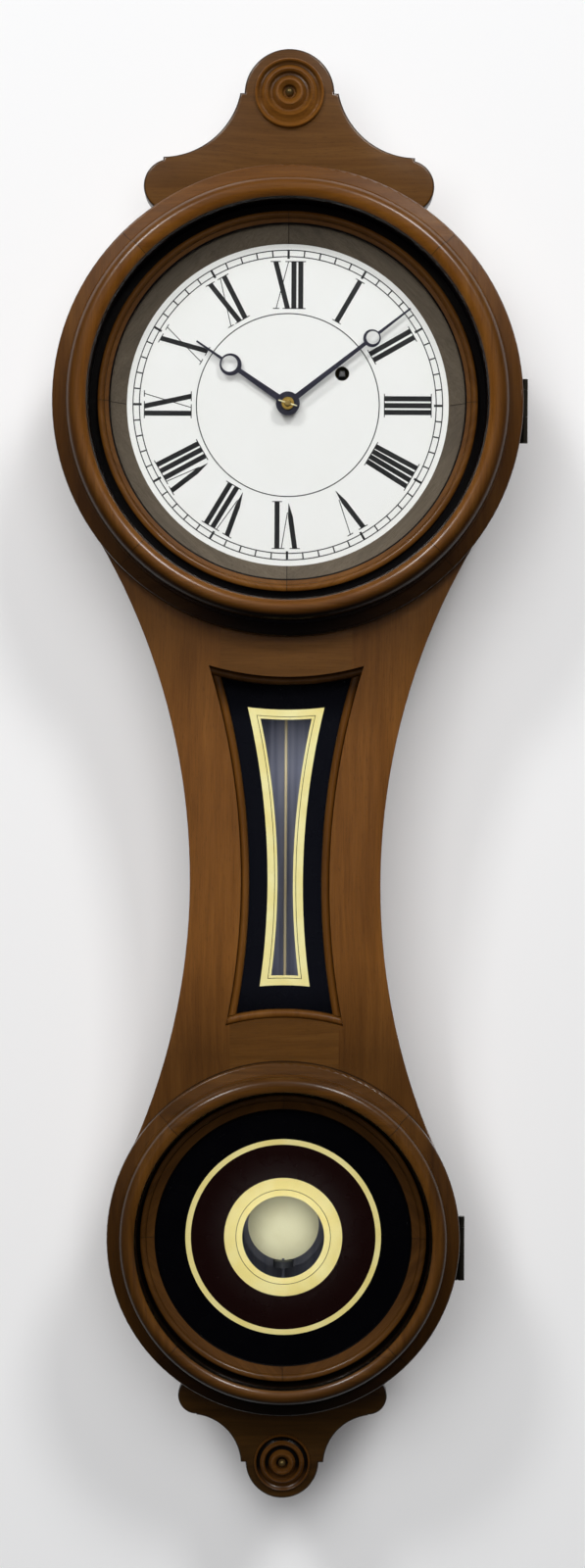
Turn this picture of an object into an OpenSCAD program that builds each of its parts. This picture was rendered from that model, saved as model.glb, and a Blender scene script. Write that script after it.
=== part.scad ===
// Weight-driven regulator wall clock with a figure-eight case and two round hinged doors.
// Shapes are drawn as seen from the front: X right, Y up from the dial centre, Z out from the wall.
// stand() turns them upright, so that the origin is the hanger hole in the back plane.

/* [Case] */
// Radius of the round upper case
upper_r = 136.5; // [132:0.5:142]
// Radius of the round lower case
lower_r = 102; // [98:0.5:106]
// Height of the dial centre above the centre of the lower ring
centre_drop = 489; // [480:1:500]
// Half the width of the case at its narrowest
waist_half = 56; // [54:0.5:60]
// Height of the dial centre above the narrowest place
waist_drop = 282; // [272:1:292]
// Height of the hanger hole above the dial centre
hanger_rise = 106; // [100:1:110]
// Thickness of the sides and round case walls
wall_t = 12; // [9:0.5:13]
// Thickness of the back board
back_t = 12; // [10:0.5:13]
// Distance from the wall to the back of the front board
box_d = 87; // [86:0.5:100]
// Thickness of the front board
front_t = 12; // [11:0.5:14]
// Width of the front board beside the waist opening
stile_w = 30; // [26:0.5:32]
// Width of the upper rail, from the round front ring to the opening
top_rail_w = 24.3; // [20:0.1:30]
// Width of the lower rail, from the round front ring to the opening
bottom_rail_w = 26; // [22:0.1:30]
// Half the length of the upper rail
top_rail_half = 38.5; // [37:0.5:42]
// Half the length of the lower rail
bottom_rail_half = 32; // [29:0.5:33]
// Width of the upper front ring
upper_front_w = 24.5; // [22:0.5:27]
// Width of the lower front ring
lower_front_w = 18; // [14:0.5:22]

/* [Crest and pendant] */
// Thickness of the crest and pendant boards
ornament_t = 14; // [10:0.5:18]
// How far these boards stand back from the front board's face
ornament_back = 15; // [10:0.5:20]
// Radius of the crest's round top
crest_top_r = 26.7; // [24:0.1:28]
// Height of the round top's centre above the dial centre
crest_top_y = 185.5; // [183:0.5:190]
// Width of the small step beside the round top
crest_step = 2.6; // [1:0.1:4]
// Radius of the crest's hollow sides
crest_cove_r = 47.3; // [46:0.1:48]
// Height of the hollow sides' centre above the dial centre
crest_cove_y = 195.2; // [194:0.1:197]
// Radius of the crest's round ears
crest_ear_r = 15.9; // [15:0.1:17]
// Distance of the ears' centres from the middle
crest_ear_x = 70.3; // [69:0.1:72]
// Height of the ears' centres above the dial centre
crest_ear_y = 130.8; // [129:0.1:132]
// Radius of the pendant's round bottom
pendant_tip_r = 21.6; // [20:0.1:23]
// Depth of the round bottom's centre below the lower ring's centre
pendant_tip_y = 136.4; // [134:0.1:140]
// Width of the small step beside the round bottom
pendant_step = 2.9; // [1:0.1:4]
// Radius of the pendant's hollow sides
pendant_cove_r = 30.2; // [29:0.1:31]
// Depth of the hollow sides' centre below the lower ring's centre
pendant_cove_y = 138.8; // [137.5:0.1:140]
// Radius of the pendant's round ears
pendant_ear_r = 11; // [10:0.1:12]
// Distance of the pendant ears' centres from the middle
pendant_ear_x = 50.9; // [50:0.1:52]
// Depth of the pendant ears' centres below the lower ring's centre
pendant_ear_y = 97.4; // [96:0.1:98]
// Radius of the crest's rosette
crest_rosette_r = 20.7; // [18:0.1:23]
// Radius of the pendant's rosette
pendant_rosette_r = 16.7; // [15:0.1:19]
// Height of the rosettes' turning, as a share of its usual height
rosette_rise = 1; // [0.7:0.05:1.3]

/* [Doors] */
// How far each door stands past its round case
door_overhang = 1; // [0.5:0.1:1.2]
// Gap between a closed door and the front board
door_gap = 0.4; // [0.3:0.05:0.8]
// Thickness of the doors' back rings
door_back_t = 7.6; // [7:0.1:10]
// Thickness of the doors' moulded front rings at their edges
bezel_edge_t = 3.4; // [2.5:0.1:5]
// Width of the flat band round the upper door
upper_band_w = 7.4; // [6:0.1:9]
// Width of the main round moulding of the upper door
upper_roll_w = 13; // [11:0.1:14]
// Width of the flat band round the lower door
lower_band_w = 6.4; // [5:0.1:8]
// Width of the main round moulding of the lower door
lower_roll_w = 10; // [8:0.1:11]
// Width of the small square step beside the main moulding
fillet_w = 1.2; // [0.8:0.1:2]
// Width of the upper door from its edge to the glass that shows
upper_door_w = 33.7; // [32:0.1:35]
// Width of the lower door from its edge to the glass that shows
lower_door_w = 28.3; // [26:0.1:30]
// Width of the upper door's inner bead
upper_bead_w = 7.6; // [6:0.1:9]
// Width of the lower door's inner bead
lower_bead_w = 9.6; // [8:0.1:10]
// Thickness of the glass
glass_t = 2; // [1.5:0.1:3]
// How far the glass reaches behind its sight edge
glass_lap = 5; // [3:0.1:6]
// Space between a glass edge and its rebate
glass_gap = 0.3; // [0.2:0.05:0.5]

/* [Hinges] */
// Length of a hinge
hinge_l = 37.4; // [34:0.1:40]
// Radius of the hinge knuckles
knuckle_r = 1.9; // [1.7:0.05:2.2]
// Radius of the hinge pins
hinge_pin_r = 0.9; // [0.7:0.05:1]
// How far the pin's axis stands outside the door's edge
hinge_out = 1.4; // [1.2:0.1:2]
// Thickness of the hinge leaves
leaf_t = 1.2; // [0.9:0.1:1.5]
// Width of the hinge leaves
leaf_w = 13; // [11:0.5:16]
// Length of the moving middle knuckle
knuckle_mid_l = 15.5; // [12:0.5:18]
// Depth of the middle knuckle's centre below the ring's centre on the upper door
upper_hinge_low = 0; // [0:0.5:4]
// Depth of the middle knuckle's centre below the ring's centre on the lower door
lower_hinge_low = 2; // [0:0.5:4]
// Length of the knuckle above the middle one
knuckle_top_l = 6.6; // [5:0.1:12]
// Running clearance round pins and arbors
run_gap = 0.05; // [0.02:0.01:0.08]
// End gap between neighbouring knuckles and at shoulders
end_gap = 0.3; // [0.2:0.05:0.4]

/* [Waist tablet] */
// Width of the sight moulding round the tablet
sight_w = 4.8; // [4:0.1:6]
// Height of the sight moulding above the tablet glass
sight_h = 5.6; // [4:0.1:7.5]
// Width of black glass from the moulding to the gold border at the sides
black_side_w = 10.8; // [8:0.1:11.5]
// Width of black glass above the gold border
black_top_w = 14.3; // [10:0.1:18]
// Width of black glass below the gold border
black_bottom_w = 13.7; // [10:0.1:18]
// Width of the gold border outside its dark line
gold_outer_w = 4; // [3:0.1:4.4]
// Width of the gold border inside its dark line
gold_inner_w = 1.5; // [1:0.1:1.6]
// Width of the dark line in the gold
gold_line_w = 0.35; // [0.3:0.05:0.5]
// Thickness of a layer of paint or leaf
paint_t = 0.25; // [0.2:0.01:0.3]

/* [Lower glass] */
// Outer radius of the thin gold ring
gold_thin_out = 57.3; // [55:0.1:60]
// Inner radius of the thin gold ring
gold_thin_in = 54.1; // [52:0.1:54.5]
// Outer radius of the thick gold ring
gold_thick_out = 34.6; // [33:0.1:36]
// Inner radius of the thick gold ring, where the glass is clear
gold_thick_in = 24.05; // [23:0.05:25]
// Radius of the dark line in the thick gold ring
gold_ring_line = 27.7; // [26:0.1:29]

/* [Dial and hands] */
// Width of the sloped ring between the glass's edge and the dial
surround_w = 8.8; // [7:0.1:12]
// Thickness of the dial
dial_t = 1; // [0.8:0.1:1.5]
// Distance from the front board's face back to the dial's face
dial_sink = 10; // [9:0.1:11]
// Width of the rim behind which the dial is held
dial_lap = 4; // [3:0.1:5]
// Radius of the winding hole
winding_hole_r = 4.2; // [3.8:0.1:5]
// Length of the minute hand from its centre
minute_l = 91.2; // [85:0.1:94]
// Distance of the minute hand's ring from its centre
minute_ring_y = 62.6; // [58:0.1:66]
// Outer radius of the minute hand's ring
minute_ring_r = 5.2; // [4.8:0.1:6]
// Radius of the hole in the minute hand's ring
minute_hole_r = 3.9; // [3.5:0.1:4]
// Length of the hour hand from its centre
hour_l = 65.3; // [60:0.1:68]
// Distance of the hour hand's ring from its centre
hour_ring_y = 41; // [38:0.1:44]
// Outer radius of the hour hand's ring
hour_ring_r = 6.5; // [6.2:0.1:7]
// Radius of the hole in the hour hand's ring
hour_hole_r = 4.8; // [4.4:0.1:4.9]
// Radius of the hands' bosses
hand_boss_r = 7; // [6:0.1:8]
// Thickness of the hands
hand_t = 0.8; // [0.6:0.05:1]
// Angle of the minute hand, clockwise from the top
minute_angle = 52; // [0:0.1:359.9]
// Angle of the hour hand, clockwise from the top
hour_angle = 304.33; // [0:0.01:359.99]
// Radius of the brass collet on the hands
collet_r = 3.8; // [3:0.1:4.5]

/* [Movement] */
// Thickness of the movement plates
plate_t = 2.5; // [2:0.1:3]
// Distance between the movement plates
plate_gap = 32.5; // [32:0.1:34]
// Space between the back board and the back plate
seat_t = 3; // [2.5:0.1:4]
// Radius of the pillars
pillar_r = 3; // [2.5:0.1:3.5]
// Radius of the plain arbors
arbor_r = 1.1; // [0.9:0.1:1.2]
// Radius of the pivots
pivot_r = 0.8; // [0.6:0.05:1]
// Radius of the centre arbor where it carries the hands
centre_arbor_r = 1.6; // [1.4:0.1:1.8]
// Radius of the barrel where the cable's middle lies
barrel_r = 6.2; // [6:0.1:6.5]
// Radius of the barrel's end flanges
flange_r = 9; // [8:0.1:9.5]
// Radius of the weight cable
cable_r = 0.5; // [0.4:0.05:0.6]
// Radius of the weight pulley where the cable's middle lies
pulley_r = 15; // [14:0.1:16]
// Height of the suspension point above the dial centre
pivot_y = 45; // [44:0.1:46]
// Height of the bob's centre above the lower ring's centre
bob_rise = 0; // [-3:0.1:3]
// Radius of the pendulum bob
bob_r = 21.3; // [19:0.1:23]
// Thickness of the pendulum bob
bob_t = 15; // [11:0.1:17]
// Radius of the pendulum rod
rod_r = 0.9; // [0.8:0.05:1.1]

/* [Weight] */
// Width of the weight
weight_w = 54; // [46:0.5:56]
// Thickness of the weight
weight_t = 18; // [14:0.5:18.5]
// Length of the weight
weight_l = 104; // [90:1:110]
// Height of the dial centre above the pulley when the clock is wound
pulley_drop = 70; // [66:1:76]
// Thickness of the weight board
baffle_t = 2; // [1.5:0.1:3]
// Distance from the back board to the weight board
baffle_gap = 24; // [23:0.5:26]

/* [Mounts] */
// Radius of the hole in the hanger plate
hanger_hole_r = 5; // [4:0.1:6]
// Thickness of the hanger plate
hanger_t = 2.5; // [2:0.1:4]
// Radius of the two steady screw holes in the back board
steady_hole_r = 2.25; // [2:0.05:3]
// Distance between the steady screw holes
steady_pitch = 110; // [90:1:120]
// Depth of the steady screw holes below the lower ring's centre
steady_low = 40; // [30:1:45]

/* [Hidden] */
$fn = 96;

// Clearance of a cut past the face that it opens
cut = 1;
// Joint gap between two mouldings that butt
hair = 0.03;
lower_y = -centre_drop;
waist_y = -waist_drop;
front_d = box_d + front_t;

// Radius of a hollow side that touches a ring of radius r, dz above or below the narrowest place
function hollow_r(r, dz) = (waist_half * waist_half + dz * dz - r * r) / (2 * (r - waist_half));
upper_hollow_r = hollow_r(upper_r, waist_drop);
lower_hollow_r = hollow_r(lower_r, centre_drop - waist_drop);
upper_hollow_x = waist_half + upper_hollow_r;
lower_hollow_x = waist_half + lower_hollow_r;
// Angle below level at which a hollow side touches its ring
upper_touch = atan2(waist_drop, upper_hollow_x);
lower_touch = atan2(centre_drop - waist_drop, lower_hollow_x);
// Length by which a stile's feather end is cut short
feather = 9;
upper_feather_y = -upper_r * sin(upper_touch) - feather;
lower_feather_y = lower_y + lower_r * sin(lower_touch) + feather;

// Plane against which the tablet glass lies
tablet_d = box_d + 4;
opening_top_r = upper_r + top_rail_w;
opening_bottom_r = lower_r + bottom_rail_w;

upper_door_r = upper_r + door_overhang;
lower_door_r = lower_r + door_overhang;
upper_front_in = upper_r - upper_front_w;
lower_front_in = lower_r - lower_front_w;
upper_sight_r = upper_door_r - upper_door_w;
lower_sight_r = lower_door_r - lower_door_w;
dial_r = upper_sight_r - surround_w;
door_d = front_d + door_gap;
bezel_d = door_d + door_back_t;
glass_d = door_d + 1.8;
glass_front_d = glass_d + glass_t;
upper_hinge_x = upper_door_r + hinge_out;
lower_hinge_x = lower_door_r + hinge_out;
hinge_d = front_d + door_gap / 2;

dial_d = front_d - dial_sink;
surround_front_d = front_d - 0.3;
hour_hand_d = dial_d + 3.5;
minute_hand_d = hour_hand_d + hand_t + 2;
collet_d = minute_hand_d + hand_t;
arbor_end_d = collet_d + 2.6;

back_plate_d = back_t + seat_t;
train_d = back_plate_d + plate_t;
front_plate_d = train_d + plate_gap;
motion_d = front_plate_d + plate_t;
cable_d = back_t + 13;
plate_x0 = -31;
plate_x1 = 47;
plate_y0 = -31;
plate_y1 = 65;
pillar_places = [[-24, -24], [40, -24], [-24, 50], [40, 58]];
seat_screw_places = [[-27, 14], [43, 36]];
screw_r = 1.5;
screw_head_r = 2.6;
screw_head_t = 1.2;
screw_bite = 6;
plate_screw_r = 1.2;
hanger_w = 44;
hanger_h = 24;
hanger_screw_x = 16;

// Tooth shape: heights in modules, half widths as shares of the tooth pitch
root_depth = 1.15;
tip_height = 0.85;
root_half = 0.26;
pitch_half = 0.21;
tip_half = 0.07;
band_round = 1.4;
bead_round_w = 4.4;
upper_roll_rise = 14.5;
lower_roll_rise = 12;
upper_roll_in = upper_door_r - upper_band_w - fillet_w - upper_roll_w;
lower_roll_in = lower_door_r - lower_band_w - fillet_w - lower_roll_w;
// Tooth sizes of the train, in millimetres of diameter per tooth
great_m = 0.57;
centre_m = 0.5;
third_m = 0.45;
motion_m = 0.4;
great_teeth = 120;
centre_pinion_teeth = 10;
centre_teeth = 80;
third_pinion_teeth = 10;
third_teeth = 82;
escape_pinion_teeth = 8;
escape_teeth = 30;
cannon_teeth = 20;
minute_teeth = 60;
minute_pinion_teeth = 16;
hour_teeth = 64;
ratchet_teeth = 24;

function mesh_distance(m, a, b) = m * (a + b) / 2;
great_c = mesh_distance(great_m, great_teeth, centre_pinion_teeth);
third_c = mesh_distance(centre_m, centre_teeth, third_pinion_teeth);
escape_c = mesh_distance(third_m, third_teeth, escape_pinion_teeth);
motion_c = mesh_distance(motion_m, cannon_teeth, minute_teeth);
great_bearing = 30.3;
great_x = great_c * cos(great_bearing);
great_y = great_c * sin(great_bearing);
escape_x = -6;
escape_y = 27;
escape_r = 15;
// The third arbor stands where the circles round the centre and escape arbors cross
escape_reach = norm([escape_x, escape_y]);
third_along = (third_c * third_c - escape_c * escape_c + escape_reach * escape_reach)
    / (2 * escape_reach);
third_aside = sqrt(third_c * third_c - third_along * third_along);
third_x = (escape_x * third_along - escape_y * third_aside) / escape_reach;
third_y = (escape_y * third_along + escape_x * third_aside) / escape_reach;
minute_bearing = -35;
minute_x = motion_c * cos(minute_bearing);
minute_y = motion_c * sin(minute_bearing);

// Planes of the wheels, each the wheel's back face
great_wheel_d = 43.2;
great_wheel_t = 2;
centre_wheel_d = 21.5;
third_wheel_d = 33;
escape_wheel_d = 27.5;
wheel_t = 1.6;
barrel_d = cable_d - 5;
barrel_end_d = 39;
ratchet_t = 1.8;
ratchet_r = 10;
click_angle = 118;
click_reach = 13.6;
motion_wheel_t = 1.4;
cannon_d = motion_d + 0.6;
hour_wheel_d = cannon_d + motion_wheel_t + 0.4;
minute_stud_r = 1.2;
cannon_pipe_r = 2.7;
hour_pipe_r = 3.5;

rod_d = 59;
loop_in = 8;
loop_w = 2.4;
crutch_y = 21;
bob_y = lower_y + bob_rise;
nut_r = 6;
nut_t = 4;
spring_t = 0.3;
spring_w = 7;

baffle_d = back_t + baffle_gap;
baffle_top_y = -118;
baffle_bottom_y = lower_y - 70;
baffle_half = waist_half - wall_t;
batten_w = 4;
batten_half = 50;
cable_x = great_x - barrel_r;
pulley_x = cable_x - pulley_r;
cable_end_x = cable_x - 2 * pulley_r;
cable_end_y = -26;
pulley_y = -pulley_drop;
pulley_t = 5;
weight_top_y = pulley_y - pulley_r - 12;
strap_t = 1.5;
pulley_pin_r = 1.2;
cable_post_r = 1.5;

winding_square = 3.2;
great_arbor_r = 2.2;
click_pin_r = 1;
click_x = click_reach * cos(click_angle);
click_y = click_reach * sin(click_angle);
ratchet_d = barrel_end_d;
click_d = ratchet_d + 0.1;
minute_pinion_end_d = hour_wheel_d + motion_wheel_t + 0.3;
third_bearing = atan2(third_y, third_x);
escape_bearing = atan2(escape_y - third_y, escape_x - third_x);

crutch_pin_r = 0.8;
verge_line = atan2(pivot_y - escape_y, -escape_x);
pallet_r = escape_r + 1.1;
nut_room = 16;
bob_lens_r = (bob_r * bob_r + bob_t * bob_t / 4) / bob_t;

// The taper pin through the arbor in front of the hands' collet
pin_r = 0.4;
pin_half = 5.7;
pin_angle = -17;

gold_line_at = gold_outer_w;
gold_end_at = gold_outer_w + gold_line_w + gold_inner_w;
paint_d = tablet_d - glass_t - paint_t;

ornament_d1 = front_d - ornament_back;
ornament_d0 = ornament_d1 - ornament_t;
// The hollow sides of crest and pendant start one step outside the round ends
crest_cove_x = crest_top_r + crest_step
    + sqrt(pow(crest_cove_r, 2) - pow(crest_cove_y - crest_top_y, 2));
pendant_cove_x = pendant_tip_r + pendant_step
    + sqrt(pow(pendant_cove_r, 2) - pow(pendant_cove_y - pendant_tip_y, 2));

hinge_low_l = hinge_l - knuckle_top_l - knuckle_mid_l;

walnut = [0.36, 0.22, 0.11];
walnut_dark = [0.28, 0.17, 0.08];
brass = [0.80, 0.66, 0.34];
steel = [0.62, 0.63, 0.65];
blued = [0.14, 0.14, 0.19];
gold = [0.87, 0.79, 0.45];
black_paint = [0.04, 0.04, 0.04];
glass_tint = [0.8, 0.88, 0.88, 0.3];

// Turns a front view upright and puts the hanger hole at the origin
module stand() {
    rotate([90, 0, 0]) translate([0, -hanger_rise, 0]) children();
}

// A flat shape from one distance off the wall to another
module slab(d0, d1) {
    translate([0, 0, d0]) linear_extrude(d1 - d0) children();
}

module disc(r, x = 0, y = 0) {
    translate([x, y]) circle(r);
}

module rod(r, d0, d1, x = 0, y = 0) {
    translate([x, y, d0]) cylinder(r = r, h = d1 - d0);
}

// A box given by its lowest and highest corners
module block(a, b) {
    translate(a) cube(b - a);
}

module tube(r_out, r_in, d0, d1, x = 0, y = 0) {
    difference() {
        rod(r_out, d0, d1, x, y);
        rod(r_in, d0 - cut, d1 + cut, x, y);
    }
}

// The waist between the two rings, drawn in by inset all round
module waist_2d(inset) {
    w = waist_half * 2.2;
    difference() {
        translate([-w, waist_y]) square([2 * w, upper_feather_y - waist_y]);
        for (s = [-1, 1]) disc(upper_hollow_r + inset, s * upper_hollow_x, waist_y, $fn = 360);
    }
    difference() {
        translate([-w, lower_feather_y]) square([2 * w, waist_y - lower_feather_y]);
        for (s = [-1, 1]) disc(lower_hollow_r + inset, s * lower_hollow_x, waist_y, $fn = 360);
    }
}

// The window in the waist, drawn in by side at the sides and by top and bottom at its ends
module window_2d(side, top, bottom) {
    w = waist_half;
    difference() {
        translate([-w, waist_y]) square([2 * w, -waist_y]);
        for (s = [-1, 1]) {
            disc(upper_hollow_r + stile_w + side, s * upper_hollow_x, waist_y, $fn = 360);
        }
        disc(opening_top_r + top);
    }
    difference() {
        translate([-w, lower_y]) square([2 * w, waist_y - lower_y]);
        for (s = [-1, 1]) {
            disc(lower_hollow_r + stile_w + side, s * lower_hollow_x, waist_y, $fn = 360);
        }
        disc(opening_bottom_r + bottom, 0, lower_y);
    }
}

module backboard() color(walnut_dark) stand() difference() {
    union() {
        slab(0, back_t) disc(upper_r);
        slab(0, back_t) waist_2d(0);
        slab(0, back_t) disc(lower_r, 0, lower_y);
    }
    rod(hanger_hole_r + 4, -cut, back_t + cut, 0, hanger_rise);
    slab(-cut, hanger_t) translate([0, hanger_rise])
        square([hanger_w, hanger_h], center = true);
    for (s = [-1, 1]) {
        rod(screw_r, 0, hanger_t + screw_bite, s * hanger_screw_x, hanger_rise);
        rod(steady_hole_r, -cut, back_t + cut, s * steady_pitch / 2, lower_y - steady_low);
    }
    for (p = seat_screw_places) rod(screw_r, back_t - screw_bite, back_t + cut, p[0], p[1]);
}

// A round case wall that leaves its sector between the two touching sides open
module case_ring(r, touch, y, up) {
    translate([0, y, back_t]) rotate([0, 0, up ? -touch : 180 - touch])
        rotate_extrude(angle = 180 + 2 * touch, $fn = 180)
            translate([r - wall_t, 0]) square([wall_t, box_d - back_t]);
}

module upper_case_ring() color(walnut) stand() case_ring(upper_r, upper_touch, 0, true);

module lower_case_ring() color(walnut) stand() case_ring(lower_r, lower_touch, lower_y, false);

// One arc of a case side, from the narrowest place to where it touches its ring
module side_arc_2d(r, x, touch) {
    difference() {
        intersection() {
            disc(r + wall_t, x, waist_y, $fn = 360);
            translate([x, waist_y]) polygon([
                [0, 0],
                [-2 * r, 0],
                2 * r * [-cos(touch), sin(touch)]
            ]);
        }
        disc(r, x, waist_y, $fn = 360);
    }
}

module case_side() {
    slab(back_t, box_d) {
        side_arc_2d(upper_hollow_r, upper_hollow_x, upper_touch);
        side_arc_2d(lower_hollow_r, lower_hollow_x, -lower_touch);
    }
}

module case_sides() color(walnut) stand() {
    case_side();
    mirror([1, 0, 0]) case_side();
}

// A front ring with the hollow for its hinge
module front_ring(r, r_in, y, hinge_x, hinge_y) {
    difference() {
        tube(r, r_in, box_d, front_d, 0, y);
        hinge_cut(hinge_x, y + hinge_y);
    }
}

module upper_front_ring() color(walnut) stand()
    front_ring(upper_r, upper_front_in, 0, upper_hinge_x, -upper_hinge_low);

module lower_front_ring() color(walnut) stand()
    front_ring(lower_r, lower_front_in, lower_y, lower_hinge_x, -lower_hinge_low);

// The front board without its rings and window
module front_frame_2d() {
    difference() {
        waist_2d(0);
        window_2d(0, 0, 0);
        disc(upper_r);
        disc(lower_r, 0, lower_y);
    }
}

module top_rail_zone_2d() {
    translate([-top_rail_half, -opening_top_r - 2])
        square([2 * top_rail_half, top_rail_w + 20]);
}

module bottom_rail_zone_2d() {
    translate([-bottom_rail_half, lower_y + lower_r - 18])
        square([2 * bottom_rail_half, bottom_rail_w + 20]);
}

// The right stile takes all that is left beside the rails and the window
module stile() {
    slab(box_d, front_d) difference() {
        front_frame_2d();
        top_rail_zone_2d();
        bottom_rail_zone_2d();
        translate([-upper_r, lower_y]) square([upper_r, centre_drop]);
    }
}

module stile_right() color(walnut) stand() stile();

module stile_left() color(walnut) stand() mirror([1, 0, 0]) stile();

module top_rail() color(walnut_dark) stand() slab(box_d, front_d) intersection() {
    front_frame_2d();
    top_rail_zone_2d();
}

module bottom_rail() color(walnut_dark) stand() slab(box_d, front_d) intersection() {
    front_frame_2d();
    bottom_rail_zone_2d();
}

// Section of the sight moulding: a bead on a flat base, below the front board's face
module sight_profile(r) {
    bead_r = sight_w / 2;
    translate([r, 0]) polygon(concat(
        [[sight_w, 0], [0, 0]],
        [for (a = [0 : 20 : 180]) [bead_r * (1 - cos(a)), sight_h - bead_r + bead_r * sin(a)]]
    ));
}

// One side of the sight moulding, in two sweeps that touch at the narrowest place
module sight_side() {
    translate([upper_hollow_x, waist_y, tablet_d]) rotate([0, 0, 180 - upper_touch])
        rotate_extrude(angle = upper_touch, $fn = 360) sight_profile(upper_hollow_r + stile_w);
    translate([lower_hollow_x, waist_y, tablet_d]) rotate([0, 0, 180])
        rotate_extrude(angle = lower_touch, $fn = 360) sight_profile(lower_hollow_r + stile_w);
}

// A side piece of the sight moulding, cut to butt against the end pieces
module sight_side_piece() {
    difference() {
        sight_side();
        rod(opening_top_r + sight_w + hair, box_d, front_d + cut);
        rod(opening_bottom_r + sight_w + hair, box_d, front_d + cut, 0, lower_y);
    }
}

module waist_moulding() color(walnut_dark) stand() {
    sight_side_piece();
    mirror([1, 0, 0]) sight_side_piece();
    intersection() {
        slab(box_d, front_d) window_2d(hair, hair, hair);
        translate([0, 0, tablet_d]) rotate([0, 0, 245])
            rotate_extrude(angle = 50, $fn = 180) sight_profile(opening_top_r);
    }
    intersection() {
        slab(box_d, front_d) window_2d(hair, hair, hair);
        translate([0, lower_y, tablet_d]) rotate([0, 0, 65])
            rotate_extrude(angle = 50, $fn = 180) sight_profile(opening_bottom_r);
    }
}

module tablet_glass() color(glass_tint) stand()
    slab(tablet_d - glass_t, tablet_d) window_2d(glass_gap, glass_gap, glass_gap);

// A zone of the tablet that starts a given width in from the black glass's outer edge
module gilt_2d(width) {
    window_2d(
        sight_w + black_side_w + width,
        sight_w + black_top_w + width,
        sight_w + black_bottom_w + width
    );
}

module tablet_paint() color(black_paint) stand() {
    slab(paint_d, paint_d + paint_t) difference() {
        window_2d(glass_gap, glass_gap, glass_gap);
        gilt_2d(0);
    }
    slab(paint_d, paint_d + paint_t) difference() {
        gilt_2d(gold_line_at);
        gilt_2d(gold_line_at + gold_line_w);
    }
}

module tablet_gilding() color(gold) stand() {
    slab(paint_d, paint_d + paint_t) difference() {
        gilt_2d(0);
        gilt_2d(gold_line_at);
    }
    slab(paint_d, paint_d + paint_t) difference() {
        gilt_2d(gold_line_at + gold_line_w);
        gilt_2d(gold_end_at);
    }
}

module crest_board() color(walnut) stand() slab(ornament_d0, ornament_d1) difference() {
    union() {
        disc(crest_top_r, 0, crest_top_y);
        difference() {
            translate([-crest_ear_x - 4.4, 0])
                square([2 * crest_ear_x + 8.8, crest_top_y + 0.4]);
            for (s = [-1, 1]) disc(crest_cove_r, s * crest_cove_x, crest_cove_y);
        }
        for (s = [-1, 1]) disc(crest_ear_r, s * crest_ear_x, crest_ear_y);
    }
    disc(upper_r);
}

module pendant_board() color(walnut_dark) stand() translate([0, lower_y])
    slab(ornament_d0, ornament_d1) difference() {
        union() {
            disc(pendant_tip_r, 0, -pendant_tip_y);
            difference() {
                translate([-pendant_ear_x, -pendant_tip_y - 0.4])
                    square([2 * pendant_ear_x, pendant_tip_y]);
                for (s = [-1, 1]) disc(pendant_cove_r, s * pendant_cove_x, -pendant_cove_y);
            }
            for (s = [-1, 1]) disc(pendant_ear_r, s * pendant_ear_x, -pendant_ear_y);
        }
        disc(lower_r);
    }

// Section of a turned rosette from its rim to its centre knob, in shares of its radius
rosette_section = [
    [0, 0], [1, 0], [1, 0.07], [0.985, 0.095], [0.955, 0.1], [0.94, 0.1],
    [0.935, 0.17], [0.92, 0.2], [0.9, 0.2], [0.885, 0.18], [0.84, 0.125], [0.78, 0.1],
    [0.72, 0.125], [0.69, 0.165], [0.67, 0.17], [0.65, 0.155], [0.6, 0.1], [0.55, 0.08],
    [0.5, 0.09], [0.46, 0.17], [0.43, 0.235], [0.4, 0.255], [0.37, 0.245], [0.32, 0.2],
    [0.25, 0.165], [0.18, 0.155], [0.165, 0.16], [0.16, 0.22], [0.13, 0.27], [0.09, 0.3],
    [0.04, 0.315], [0, 0.317]
];

module rosette(r) {
    rotate_extrude() polygon([for (p = rosette_section) [p[0] * r, p[1] * r * rosette_rise]]);
}

module rosettes() color(walnut) stand() {
    translate([0, crest_top_y, ornament_d1]) rosette(crest_rosette_r);
    translate([0, lower_y - pendant_tip_y, ornament_d1]) rosette(pendant_rosette_r);
}

// A ring turned to a slope from the front board down to the dial
module dial_surround() color(walnut) stand() rotate_extrude($fn = 180) polygon([
    [dial_r, dial_d],
    [upper_sight_r, surround_front_d],
    [upper_front_in, surround_front_d],
    [upper_front_in, box_d],
    [dial_r + dial_lap + glass_gap, box_d],
    [dial_r + dial_lap + glass_gap, dial_d]
]);

module dial() color([0.93, 0.93, 0.92]) stand() difference() {
    rod(dial_r + dial_lap, dial_d - dial_t, dial_d, $fn = 180);
    rod(hour_pipe_r + 0.8, dial_d - dial_t - cut, dial_d + cut);
    rod(winding_hole_r, dial_d - dial_t - cut, dial_d + cut, great_x, great_y);
}

module hanger_plate() color(steel) stand() difference() {
    slab(0, hanger_t) translate([0, hanger_rise])
        square([hanger_w, hanger_h], center = true);
    rod(hanger_hole_r, -cut, hanger_t + cut, 0, hanger_rise);
    for (s = [-1, 1]) {
        rod(screw_r, -cut, hanger_t + cut, s * hanger_screw_x, hanger_rise);
        rod(screw_head_r, -cut, screw_head_t, s * hanger_screw_x, hanger_rise);
    }
}

// A round-headed screw whose shank goes towards the wall from the face at d
module screw(x, y, d, length, r) {
    rod(r, d - length, d, x, y);
    difference() {
        rod(2 * r, d, d + screw_head_t, x, y);
        translate([x - 2 * r, y - 0.3, d + screw_head_t / 2]) cube([4 * r, 0.6, screw_head_t]);
    }
}

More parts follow.
